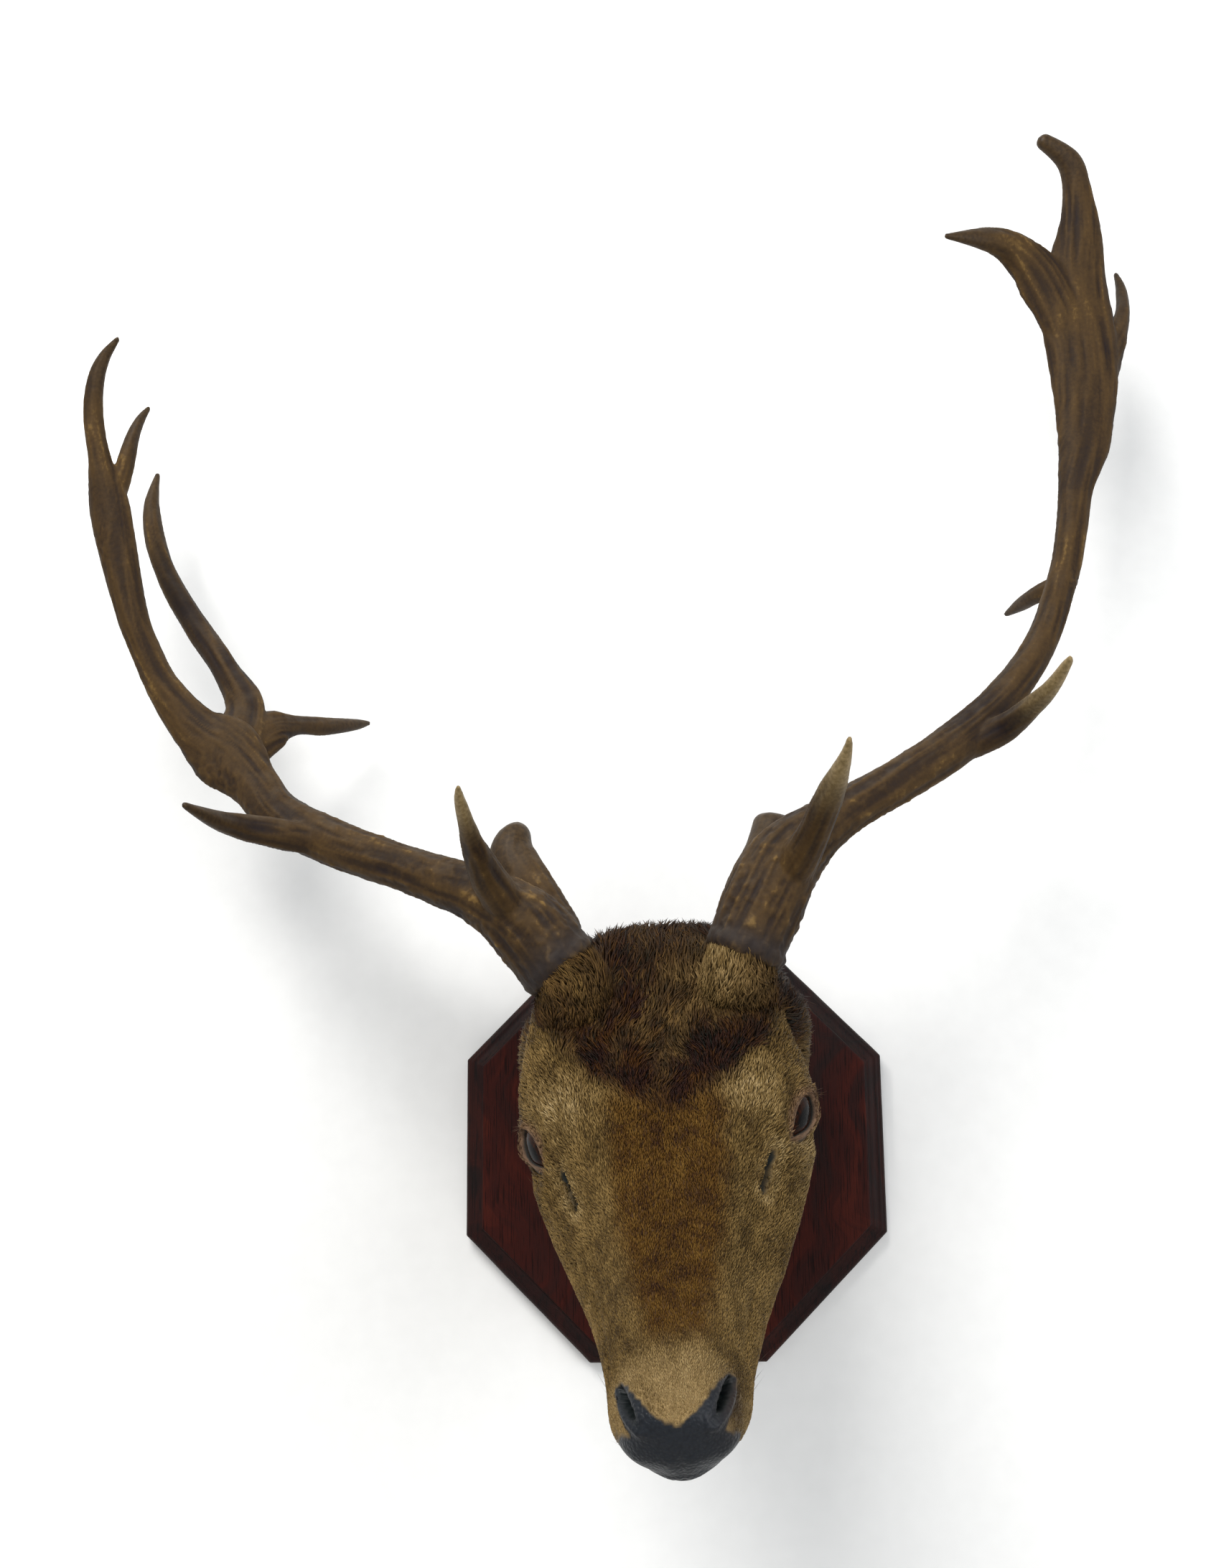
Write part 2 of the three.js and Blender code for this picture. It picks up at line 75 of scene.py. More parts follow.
def placed(name, data):
    """A new object in the scene that holds the data."""
    thing = bpy.data.objects.new(name, data)
    bpy.context.scene.collection.objects.link(thing)
    return thing


def make_piece(name, places, faces, finish, nodes, marks, maps=None):
    """A shown mesh from rows of places in metres and arrays of faces, riding on the mount."""
    mesh = bpy.data.meshes.new(name)
    mesh.vertices.add(len(places))
    mesh.vertices.foreach_set("co", np.asarray(places, np.float32).ravel())
    sizes = np.concatenate([np.full(len(f), f.shape[1]) for f in faces])
    corners = np.concatenate([f.ravel() for f in faces])
    mesh.loops.add(len(corners))
    mesh.loops.foreach_set("vertex_index", corners.astype(np.int32))
    mesh.polygons.add(len(sizes))
    mesh.polygons.foreach_set("loop_start", (np.cumsum(sizes) - sizes).astype(np.int32))
    mesh.update(calc_edges=True)
    mesh.polygons.foreach_set("use_smooth", np.ones(len(sizes), bool))
    for mark, values in marks.items():
        layer = mesh.attributes.new(mark, "FLOAT", "POINT")
        layer.data.foreach_set("value", np.asarray(values, np.float32).ravel())
    if maps is not None:
        mesh.uv_layers.new(name="OFBake").data.foreach_set("uv", maps.astype(np.float32).ravel())
    piece = placed(name, mesh)
    mesh.materials.append(finish)
    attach(piece, "root")
    if nodes:
        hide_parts(*nodes)
    return piece


def put(tree, kind, sockets=None, **settings):
    """One shader node with its settings; a socket takes a value or another node's output."""
    made = tree.nodes.new("ShaderNode" + kind)
    for setting, value in settings.items():
        setattr(made, setting, value)
    for key, value in (sockets or {}).items():
        if isinstance(value, bpy.types.NodeSocket):
            tree.links.new(value, made.inputs[key])
        else:
            made.inputs[key].default_value = value
    return made


def ramp(tree, share, *stops):
    """A colour ramp through (place, colour) stops."""
    made = put(tree, "ValToRGB", {"Fac": share})
    elements = made.color_ramp.elements
    while len(elements) < len(stops):
        elements.new(0.5)
    for element, (place, colour) in zip(elements, stops):
        element.position = place
        element.color = colour
    return made.outputs["Color"]


def blend(tree, share, first, second, mode="MIX"):
    """The first colour, covered by the second one where share is 1."""
    made = put(tree, "Mix", {0: share, 6: first, 7: second}, data_type="RGBA", blend_type=mode)
    return made.outputs[2]


def maths(tree, operation, first, second=0.5, third=0.5, clamp=False):
    given = {0: first, 1: second, 2: third}
    return put(tree, "Math", given, operation=operation, use_clamp=clamp).outputs[0]


def noise(tree, place, scale, detail, **more):
    given = {"Vector": place, "Scale": scale, "Detail": detail, **more}
    return put(tree, "TexNoise", given).outputs["Fac"]


def scaled(tree, place, *scale):
    return put(tree, "Mapping", {"Vector": place, "Scale": scale}).outputs[0]


def moved(tree, value, start=(0.0, 1.0), end=(0.0, 1.0)):
    """The value, moved evenly from the range start to the range end."""
    limits = dict(zip(("From Min", "From Max", "To Min", "To Max"), (*start, *end)))
    return put(tree, "MapRange", {"Value": value, **limits}).outputs["Result"]


def mesh_mark(tree, name):
    return put(tree, "Attribute", attribute_name=name).outputs["Fac"]


def finish_base(name, **sockets):
    """A material, its tree and its Principled shader, with what is the same all over."""
    made = bpy.data.materials.new(name)
    made.use_nodes = True
    shader = made.node_tree.nodes["Principled BSDF"]
    for socket, value in sockets.items():
        shader.inputs[socket.replace("_", " ")].default_value = value
    return made, made.node_tree, shader


def dress(tree, shader, colour, rough, height=None, strength=0.0, distance=0.0):
    """Give the shader its colour and roughness, and a fine relief where there is one."""
    tree.links.new(colour, shader.inputs["Base Color"])
    tree.links.new(rough, shader.inputs["Roughness"])
    if height is not None:
        relief = put(tree, "Bump", {"Height": height, "Strength": strength, "Distance": distance})
        tree.links.new(relief.outputs["Normal"], shader.inputs["Normal"])


def colour_group(name, **inputs):
    """A node group that gives a colour: its tree, its inputs and the socket to fill."""
    group = bpy.data.node_groups.new(name, "ShaderNodeTree")
    for given, kind in inputs.items():
        group.interface.new_socket(name=given, in_out="INPUT", socket_type="NodeSocket" + kind)
    group.interface.new_socket(name="Color", in_out="OUTPUT", socket_type="NodeSocketColor")
    given, result = (group.nodes.new("NodeGroup" + side) for side in ("Input", "Output"))
    return group, given.outputs, result.inputs["Color"]


def settled_dust():
    """Thin grey dust on surfaces that face up, with gaps where it was brushed off."""
    group, given, result = colour_group("settled_dust", Color="Color", Amount="Float", Size="Float")
    facing = put(group, "SeparateXYZ", {0: put(group, "NewGeometry").outputs["Normal"]})
    upward = moved(group, facing.outputs["Z"], (0.1, 1.0))
    patches = put(group, "TexNoise", {"Scale": given["Size"], "Detail": 5.0}).outputs["Fac"]
    cover = maths(group, "MULTIPLY", upward, moved(group, patches, (0.35, 0.7)))
    cover = maths(group, "MULTIPLY", cover, given["Amount"], clamp=True)
    group.links.new(blend(group, cover, given["Color"], srgb(142, 132, 118)), result)
    return group


DUST = settled_dust()


def dusted(tree, colour, amount, size):
    given = {"Color": colour, "Amount": amount, "Size": size}
    return put(tree, "Group", given, node_tree=DUST).outputs["Color"]


def sheet_faces(count_rows, count_columns):
    """Four-sided faces of a grid of places that closes round its second axis."""
    i = np.arange(count_rows - 1)[:, None] * count_columns
    j = np.arange(count_columns)
    k = (j + 1) % count_columns
    square = [i + j, i + k, i + count_columns + k, i + count_columns + j]
    return np.stack(square, -1).reshape(-1, 4)


def closed_faces(count_rows, count_columns):
    """Faces of such a sheet closed at both ends by two hubs, which are its last two places."""
    j = np.arange(count_columns)
    k = (j + 1) % count_columns
    last, hub = (count_rows - 1) * count_columns, count_rows * count_columns + 0 * j
    caps = np.concatenate([np.stack([k, j, hub], -1), np.stack([last + j, last + k, hub + 1], -1)])
    return sheet_faces(count_rows, count_columns), caps


board_low, board_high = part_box("board")
BOARD_HALF = (board_high.x - board_low.x) / 2 / MM
BOARD_THICK = (board_high.y - board_low.y) / MM
EDGE_HEIGHT = 10.5
QUARTER_ROUND = 4.5
HOLLOW_START = (5.2, 15.7)
HOLLOW_WIDE = 6.0
HOLLOW_DEEP = 2.1
FIELD_INSET = 12.8
CURVE_STEPS = 8
SIDE_CUTS = 14
SHARP_EDGE = math.radians(28)
# dents in the moulding: their size and depth, and where they start and end out from the wall
WEAR_SIZE, WEAR_DEEP = 11, 0.12
WEAR_START, WEAR_END = -1, -19.5


def board_profile():
    """Inset from the edge and height from the wall, from the back edge to the flat field."""
    points = [(0.7, 0.0), (0.0, 0.7), (0.0, EDGE_HEIGHT)]
    for step in range(1, CURVE_STEPS + 1):
        turn = math.pi / 2 * step / CURVE_STEPS
        rise = QUARTER_ROUND * math.sin(turn)
        points.append((QUARTER_ROUND * (1 - math.cos(turn)), EDGE_HEIGHT + rise))
    points += [(5.1, 15.0), HOLLOW_START]
    for step in range(1, CURVE_STEPS + 1):
        share = step / CURVE_STEPS
        rise = HOLLOW_DEEP * share * share
        points.append((HOLLOW_START[0] + HOLLOW_WIDE * share, HOLLOW_START[1] + rise))
    points += [(11.9, 17.9), (12.0, 19.4), (12.3, 19.85)]
    return points + [(FIELD_INSET, BOARD_THICK), (FIELD_INSET + 1.2, BOARD_THICK)]


def octagon(inset):
    """Points round the octagon, with its corners just broken."""
    apothem = BOARD_HALF - inset
    corner = apothem / math.cos(math.pi / 8)
    shares = np.concatenate([[0.004], np.linspace(0, 1, SIDE_CUTS)[1:-1], [0.996]])
    sides = []
    for k in range(8):
        start, end = (math.pi / 8 + math.pi / 4 * (k + n) for n in (0, 1))
        first = corner * np.array([math.cos(start), math.sin(start)])
        last = corner * np.array([math.cos(end), math.sin(end)])
        sides.append(first + shares[:, None] * (last - first))
    return np.concatenate(sides)


rings = []
for inset, height in board_profile():
    ring = octagon(inset)
    rings.append(np.column_stack([ring[:, 0], np.full(len(ring), -height), ring[:, 1]]))
around = len(rings[0])
board_places = np.concatenate(rings)
wear = value_noise(board_places, WEAR_SIZE, 3) * WEAR_DEEP
wear = wear * (board_places[:, 1] < WEAR_START) * (board_places[:, 1] > WEAR_END)
board_places = board_places + wear[:, None] * np.array([1, 0, 1])
board_places = np.concatenate([board_places, [[0, 0, 0], [0, -BOARD_THICK, 0]]])
in_moulding = np.repeat([inset < FIELD_INSET - 0.2 for inset, _ in board_profile()], around)
in_moulding = np.concatenate([in_moulding, [True, False]])

mahogany, tree, shader = finish_base("mahogany", IOR=1.5, Specular_IOR_Level=0.1)
spot = put(tree, "TexCoord").outputs["Object"]
warp = put(tree, "TexNoise", {"Vector": spot, "Scale": 9.0, "Detail": 2.0})
swung = put(tree, "VectorMath", {0: spot, 1: warp.outputs["Color"], 2: (0.03, 0.03, 0.03)},
            operation="MULTIPLY_ADD")
figure = noise(tree, scaled(tree, swung.outputs[0], 34.0, 34.0, 2.2), 1.6, 7.0, Roughness=0.62)
pores = noise(tree, scaled(tree, spot, 1100.0, 1100.0, 42.0), 1.0, 2.0)
stain = ramp(tree, figure, (0.3, srgb(26, 8, 7)), (0.5, srgb(52, 17, 12)), (0.72, srgb(84, 30, 17)))
open_pores = ramp(tree, pores, (0.36, (0.35, 0.33, 0.33, 1)), (0.47, (1, 1, 1, 1)))
wood = blend(tree, 1.0, stain, open_pores, "MULTIPLY")
dark_groove = maths(tree, "MULTIPLY", mesh_mark(tree, "moulding"), 0.55)
wood = blend(tree, dark_groove, wood, srgb(20, 10, 10))
polish = moved(tree, noise(tree, spot, 38.0, 4.0), end=(0.36, 0.56))
dress(tree, shader, dusted(tree, wood, 0.12, 26.0), polish, pores, 0.12, 0.0006)

shield = make_piece("shield", board_places * MM, closed_faces(len(rings), around), mahogany,
                    ["board"], marks={"moulding": in_moulding})
shield.data.set_sharp_from_angle(angle=SHARP_EDGE)

# ------------------------------------------------------------------ the form of the hide
# The tanned hide of head and neck, glued over a form. Its outline is a run of ribs square to
# the head's long axis, and then down the neck to the shield. Lengths here are millimetres.

NOSE_TIP = np.array([-2.4, -391, -138])
HEAD_PITCH, HEAD_YAW, HEAD_ROLL = (math.radians(a) for a in (38, -3.4, -5))

# back from the nose, crown, throat, shoulder w, h, widest w, h, jaw w, h
HEAD_RIBS = [
    [0, -12, -40, 10, -16, 17, -27, 7.5, -36.5],
    [4, -5, -46, 15, -9, 24.5, -28.5, 10.5, -41.5],
    [12, 0, -51, 19, -4, 30.5, -29, 13, -46.5],
    [26, 5, -56.5, 22, 0, 35, -30.5, 16.5, -52.5],
    [45, 9, -63, 23, 3, 38, -33, 21, -58],
    [72, 13, -71, 24, 7, 42, -36, 26, -62],
    [106, 19, -79, 27, 12, 48.5, -38, 33, -68],
    [144, 26, -89, 33, 19, 60, -36, 41, -76],
    [178, 32, -100, 43, 27, 72, -27, 48, -85],
    [207, 37, -110, 56, 33, 83, -13, 52, -92],
    [232, 43, -118, 64, 39, 91, 0, 54, -98],
    [252, 49, -124, 66, 45, 92, 6, 54, -102],
    [276, 58, -128, 68, 52, 89, 14, 54, -104],
]
# depth and height of the rib's middle, its lean, then the same measures
NECK_RIBS = [
    [-150, 51, 26, 80, -136, 66, 63, 87, 14, 56, -112],
    [-124, 53, 17, 91, -144, 59, 75, 86, 4, 57, -118],
    [-76, 49, 8, 76, -150, 52, 57, 80, -26, 56, -120],
    [-(BOARD_THICK + 0.3), 43, 0, 70, -156, 47, 51, 77, -38, 54, -124],
]
# distance back along head and neck of each rib, for whatever changes along the animal
REACH = [rib[0] for rib in HEAD_RIBS] + [306, 332, 380, 436]

RIBS = [
    [NOSE_TIP[1] + rib[0] * math.cos(HEAD_PITCH), NOSE_TIP[2] + rib[0] * math.sin(HEAD_PITCH),
     math.degrees(HEAD_PITCH), 1, *rib[1:]]
    for rib in HEAD_RIBS
] + [
    [*rib[:3], 1 - (n + 1) / len(NECK_RIBS), *rib[3:]] for n, rib in enumerate(NECK_RIBS)
]


def between(p0, p1, p2, p3, f):
    """A smooth curve from p1 to p2, at shares f of the way."""
    start, end = (p2 - p0) / 2, (p3 - p1) / 2
    return (((2 * (p1 - p2) + start + end) * f + 3 * (p2 - p1) - 2 * start - end) * f + start) * f + p1


def rows_at(rows, t):
    """A smooth curve through rows of numbers; t counts the rows."""
    rows = np.asarray(rows, float)
    last = len(rows) - 1
    t = np.asarray(t, float)
    i = np.clip(np.floor(t).astype(int), 0, last - 1)
    before, after = rows[np.maximum(i - 1, 0)], rows[np.minimum(i + 2, last)]
    return between(before, rows[i], rows[i + 1], after, (t - i)[..., None])


def unit(vector):
    return vector / np.maximum(np.linalg.norm(vector, axis=-1, keepdims=True), 1e-9)


def bell(away, half):
    """1 where away is 0, falling off evenly over about the half width."""
    return np.exp(-(away / half)**2)


def smooth(low, high, value):
    """0 below low, 1 above high, and an even swing between them."""
    share = np.clip((value - low) / (high - low), 0, 1)
    return share * share * (3 - 2 * share)


def within(value, low, full, still, high):
    """1 from full to still, falling to 0 at low and at high."""
    return smooth(low, full, value) * (1 - smooth(still, high, value))


def spun(x, y, angle):
    """Two coordinates after a turn from x towards y."""
    return x * np.cos(angle) - y * np.sin(angle), x * np.sin(angle) + y * np.cos(angle)


def turned(places, share):
    """Places of the upright head turned to its yaw and lean, by the share given."""
    x, y, z = np.moveaxis(places - NOSE_TIP * [0, 1, 1], -1, 0)
    x, y = spun(x, y, HEAD_YAW * share)
    z, x = spun(z, x, HEAD_ROLL * share)
    return np.stack([x, y, z], -1) + NOSE_TIP


def head_places(places):
    """Side, back and rise of places of the upright head."""
    rise, back = spun(places[..., 2] - NOSE_TIP[2], places[..., 1] - NOSE_TIP[1], HEAD_PITCH)
    return places[..., 0], back, rise


def rib_outline(rows, v):
    """Half width and height at shares v round each rib; 0 is the crown, 0.5 the throat."""
    crown, throat, sw, sh, ww, wh, jw, jh = np.moveaxis(rows[..., 4:], -1, 0)
    none = np.zeros_like(crown)
    loop = np.stack([
        np.stack([none, sw, ww, jw, none, -jw, -ww, -sw], -1),
        np.stack([crown, sh, wh, jh, throat, jh, wh, sh], -1),
    ], -1)
    at = v * 8
    i = np.floor(at).astype(int) % 8
    f = (at - np.floor(at))[:, None]
    p0, p1, p2, p3 = (loop[:, (i + k) % 8] for k in (-1, 0, 1, 2))
    return between(p0, p1, p2, p3, f)


# Rows of the skin lie closer together at the nose and the eyes, where its folds are finest.
SPACING = ([0, 34, 60, 160, 200, 256, 290, 436], [0.75, 0.85, 1.5, 1.6, 1.15, 1.15, 2.1, 2.2])
COLUMNS = 248
NOSE_DOME = 3.5
DOME_ROWS = 22


def row_stations():
    stations = [0.0]
    while stations[-1] < REACH[-1]:
        stations.append(stations[-1] + np.interp(stations[-1], *SPACING))
    return np.array(stations) * REACH[-1] / stations[-1]


reach = row_stations()
rows = rows_at(RIBS, np.interp(reach, REACH, np.arange(len(REACH))))
outline = rib_outline(rows, np.arange(COLUMNS) / COLUMNS)
out, up = spun(0, outline[..., 1], np.radians(rows[:, 2:3]))
upright_skin = np.stack([outline[..., 0], rows[:, 0:1] + out, rows[:, 1:2] + up], -1)

# the front of the nose: the first rib drawn in to its middle over a low dome
first_ring = upright_skin[0]
front = first_ring.mean(0)
ahead = np.array([0, -math.cos(HEAD_PITCH), -math.sin(HEAD_PITCH)])
draw = np.sin(np.linspace(0.015, 1, DOME_ROWS + 1)[:-1] * math.pi / 2)[:, None, None]
dome = front + (first_ring - front) * draw + ahead * NOSE_DOME * (1 - draw**2)
upright_skin = np.concatenate([dome, upright_skin])
reach = np.concatenate([np.zeros(DOME_ROWS), reach])
turn_share = np.concatenate([np.ones(DOME_ROWS), rows[:, 3]])[:, None]


def grid_normals(grid):
    """Outward unit normals of a grid of places that closes round its second axis."""
    down = np.gradient(grid, axis=0)
    across = (np.roll(grid, -1, 1) - np.roll(grid, 1, 1)) / 2
    return unit(np.cross(across, down))


def hill(side, back, rise, at, size):
    """A rounded hill of height 1; it stands on both sides of the head if side is never below 0."""
    away = ((side - at[0]) / size[0])**2 + ((back - at[1]) / size[1])**2
    return np.exp(-away - ((rise - at[2]) / size[2])**2)


def way_to_line(side, back, rise, stops):
    """Distance from a broken line through the stops, and the share along it."""
    here = np.stack(np.broadcast_arrays(side, back, rise), -1)
    best = np.full(here.shape[:-1], 1e9)
    along = np.zeros_like(best)
    pieces = len(stops) - 1
    for n in range(pieces):
        a, b = np.array(stops[n], float), np.array(stops[n + 1], float)
        t = np.clip((here - a) @ (b - a) / ((b - a) @ (b - a)), 0, 1)
        away = np.linalg.norm(here - a - t[..., None] * (b - a), axis=-1)
        closer = away < best
        best = np.where(closer, away, best)
        along = np.where(closer, (n + t) / pieces, along)
    return best, along


# folds and hollows of the face, as stops of side, back and rise
TEAR_SLIT = [(64.5, 188, 10), (61, 178, 4.8), (57, 167, 1.5)]
NOSTRIL = [(29.5, 33, -8.5), (27, 25, -7.5), (22, 15, -8.5), (17.5, 8, -11)]
CHEEK_CREST = [(84, 222, -20), (70, 186, -34), (55, 150, -42)]
JAW_EDGE = [(86, 262, -18), (72, 262, -52), (52, 246, -88)]
LIP_LIFTER = [(56, 168, -24), (46, 110, -22), (37, 60, -20)]
MOUTH_RISE = (-44, -0.125)
MOUTH_REACH = 92

# how far each hill of the face stands out, its middle and its half size; hollows are negative
FACE_HILLS = [
    (2.2, (70, 226, 36), (20, 24, 12)), (-2.6, (60, 180, 6), (15, 20, 14)),
    (-1.8, (0, 232, 44), (15, 34, 14)), (-1.3, (44, 130, -8), (10, 34, 12)),
    (2.4, (66, 214, -62), (22, 30, 22)), (1.5, (34, 34, -34), (10, 18, 9)),
    (1.6, (8, 16, -50), (12, 12, 6)),
]
RIGHT_TEMPLE = (-5.0, (88, 288, 34), (26, 34, 34))


def mouth_height(back):
    return MOUTH_RISE[0] + MOUTH_RISE[1] * back


def face_relief(side, back, rise):
    """How far the bare hide stands out from the even form."""
    wide = np.abs(side)
    relief = RIGHT_TEMPLE[0] * hill(side, back, rise, *RIGHT_TEMPLE[1:])
    for stands_out, middle, half in FACE_HILLS:
        relief += stands_out * hill(wide, back, rise, middle, half)
    for stops, stands_out, half, fade in (
            (CHEEK_CREST, 2.6, 9, 0.5), (LIP_LIFTER, -1.3, 4.5, 0), (JAW_EDGE, -3.0, 10, 0)):
        away, along = way_to_line(wide, back, rise, stops)
        relief += stands_out * bell(away, half) * (1 - fade * along)
    bridge = within(back, 36, 70, 160, 195) * smooth(0, 8, rise)
    relief += (0.9 * bell(wide - 20, 5) - 0.8 * bell(wide, 9)) * bridge
    away, along = way_to_line(wide, back, rise, TEAR_SLIT)
    taper = np.sin(np.clip(along * 0.9 + 0.08, 0, 1) * math.pi)
    return relief + taper * (1.5 * bell(away - 5.2, 2.2) - 5.0 * bell(away, 2.1))


def nostril_rim(side, back, rise):
    """Distance out from the rim of a nostril, below 0 in its opening, and the share along it."""
    away, along = way_to_line(np.abs(side), back, rise, NOSTRIL)
    return away - 1.1 - 1.9 * np.sin(along**0.8 * math.pi * 0.9), along


def nose_relief(side, back, rise):
    """The nostrils, their wings, the groove under the nose and the line of the mouth."""
    out, _ = nostril_rim(side, back, rise)
    relief = -7.5 * (1 - smooth(-1.1, 0.6, out))
    relief += 1.8 * bell(out - 2.4, 1.9) * (0.3 + 0.7 * smooth(-8.0, -12.0, rise))
    below_pad = within(rise, -46, -41, -26, -20) * (1 - smooth(6, 16, back))
    relief += (0.6 * bell(np.abs(side) - 6, 4) - 0.5 * bell(side, 1.4)) * below_pad
    drop = rise - mouth_height(back)
    lips = 1.0 * bell(drop - 3.2, 1.9) + 0.8 * bell(drop + 3.4, 2.1) - 3.2 * bell(drop, 1.15)
    return relief + lips * (1 - smooth(MOUTH_REACH - 16, MOUTH_REACH, back))


# depth of the coat, from the skin to the tips of the hair, along head and neck
COAT_DEPTH = ([0, 14, 34, 120, 200, 240, 276, 310, 350, 436],
              [0.2, 0.4, 0.8, 1.2, 1.7, 2.2, 3.2, 4.6, 5.6, 5.6])
coat_depth = np.interp(reach, *COAT_DEPTH)[:, None]

outward = grid_normals(upright_skin)
even_form = upright_skin
side, back, rise = head_places(even_form)
in_face = (1 - smooth(285, 330, reach))[:, None]
relief = (face_relief(side, back, rise) + nose_relief(side, back, rise)) * in_face
relief += 0.45 * value_noise(upright_skin, 19, 1) * smooth(30, 90, reach)[:, None]
relief += 1.5 * value_noise(upright_skin * [1, 0.45, 1], 30, 2) * smooth(250, 320, reach)[:, None]
tuck = smooth(422, 436, reach)[:, None] * 2.5
upright_skin = upright_skin + outward * (relief - coat_depth - tuck)[..., None]
skin_grid = turned(upright_skin, turn_share)

# ------------------------------------------------------------------ eyes and lids
# Blown glass eyes with a brown painted back, set in the form with the hide tucked round
# them. The lids are rolled margins of bare skin with a fold above and below.

EYE_SIDE, EYE_BACK = 69, 235
EYE_RISE = {-1: -2, 1: 3}
EYE_FORWARD, EYE_UP = math.radians(28), math.radians(10)
EYE_HALF = np.array([21.0, 18.0, 15.0])
EYE_FORE = 3.6
OPENING_LONG, OPENING_OVER, OPENING_UNDER = 14.2, 9.4, 7.2
LID_REACH = 22.0
LID_THICK = 2.1
LID_RINGS, LID_COLUMNS = 40, 120
# how far from the eye's middle, and behind its plane, the face still belongs to it
NEAR_EYE, BEHIND_EYE = 60, -30


def in_head(side, back, rise):
    """Across, back from the nose tip and up from the head's axis, as a place in the room."""
    y, z = spun(back, rise, HEAD_PITCH)
    upright = np.stack(np.broadcast_arrays(side, NOSE_TIP[1] + y, NOSE_TIP[2] + z), -1)
    return turned(upright, 1)


def full_turn(count):
    return np.linspace(0, 2 * math.pi, count, endpoint=False)


def eye_pose(hand):
    """Centre, and the forward, upward and outward directions of one eye."""
    rise_here = EYE_RISE[hand]
    centre = in_head(hand * EYE_SIDE, EYE_BACK, rise_here)
    look = unit(in_head(hand * (EYE_SIDE + math.cos(EYE_FORWARD)), EYE_BACK - math.sin(EYE_FORWARD),
                        rise_here + math.sin(EYE_UP)) - centre)
    to_nose = in_head(0, 0, 0) - in_head(0, 1, 0)
    level = unit(to_nose - look * (to_nose @ look))
    over = np.cross(look, level)
    return centre, level, over if over[2] > 0 else -over, look


def measured_from_eye(hand, places):
    """How far places lie forward of one eye, above it and out of its plane."""
    centre, *ways = eye_pose(hand)
    return [(places - centre) @ way for way in ways]


def at_eye(hand, a, c, height):
    """The reverse: places at a forward, c up and a height out of the eye's plane."""
    centre, level, over, look = eye_pose(hand)
    return centre + a[..., None] * level + c[..., None] * over + height[..., None] * look


BALL_EDGE = 0.86
BALL_FALL = 9.0


def ball_height(a, c):
    """How far the glass stands out over the eye's plane at a forward and c up."""
    away = np.sqrt((a / EYE_HALF[0])**2 + (c / EYE_HALF[1])**2)
    inside = np.minimum(away, BALL_EDGE)
    fall = BALL_FALL * np.maximum(away - BALL_EDGE, 0)
    return EYE_FORE + EYE_HALF[2] * np.sqrt(1 - inside**2) - fall


def opening_edge(turn):
    """The lid's edge at an angle round the eye; 0 is forward and a quarter turn is up."""
    forward, up = np.cos(turn), np.sin(turn)
    lean_away = np.arctan2(up, forward)
    a = OPENING_LONG * forward - 1.5 + 3.0 * bell(lean_away, 0.42)
    c = np.where(up > 0, OPENING_OVER, OPENING_UNDER) * up - 2.6 * bell(lean_away, 0.5)
    return a, c


def edge_distance(a, c):
    """Distance outward from the lid's edge, along the line from the middle of the eye."""
    turns = np.linspace(-math.pi, math.pi, 361)
    edge_a, edge_c = opening_edge(turns)
    edge_turn = np.arctan2(edge_c, edge_a)
    order = np.argsort(edge_turn)
    radius = np.hypot(edge_a, edge_c)
    here = np.interp(np.arctan2(c, a), edge_turn[order], radius[order], period=2 * math.pi)
    return np.hypot(a, c) - here


def lid_height(a, c, base):
    """Height of the lid's skin over the eye's plane, running out to the face round it."""
    out = edge_distance(a, c)
    upper = smooth(-2, 4, c)
    thick = 0.25 + LID_THICK * (1 - np.exp(-np.maximum(out, 0) / 0.8))
    thick = thick + 3.4 * smooth(3, -13, a) * smooth(0, 3, out)
    folds = 0.7 * bell(out - 7.2, 1.5) * upper - 0.5 * bell(out - 9.0, 1.2)
    folds = folds - (0.5 + 0.6 * upper) * bell(out - 5.2 - 0.8 * upper, 1.0)
    share = smooth(3.5, LID_REACH - 3, out)
    return (ball_height(a, c) + thick + folds) * (1 - share) + base * share


def face_height(hand, face, a, c):
    """Height of the face over the eye's plane, felt for by rays from in front."""
    centre, level, over, look = eye_pose(hand)
    found = np.zeros(a.shape)
    for index, (x, y) in enumerate(zip(a.ravel(), c.ravel())):
        start = centre + level * x + over * y + look * NEAR_EYE
        hit = face.ray_cast(Vector(start), Vector(-look))[0]
        found.flat[index] = 0 if hit is None else (np.array(hit) - centre) @ look
    return found


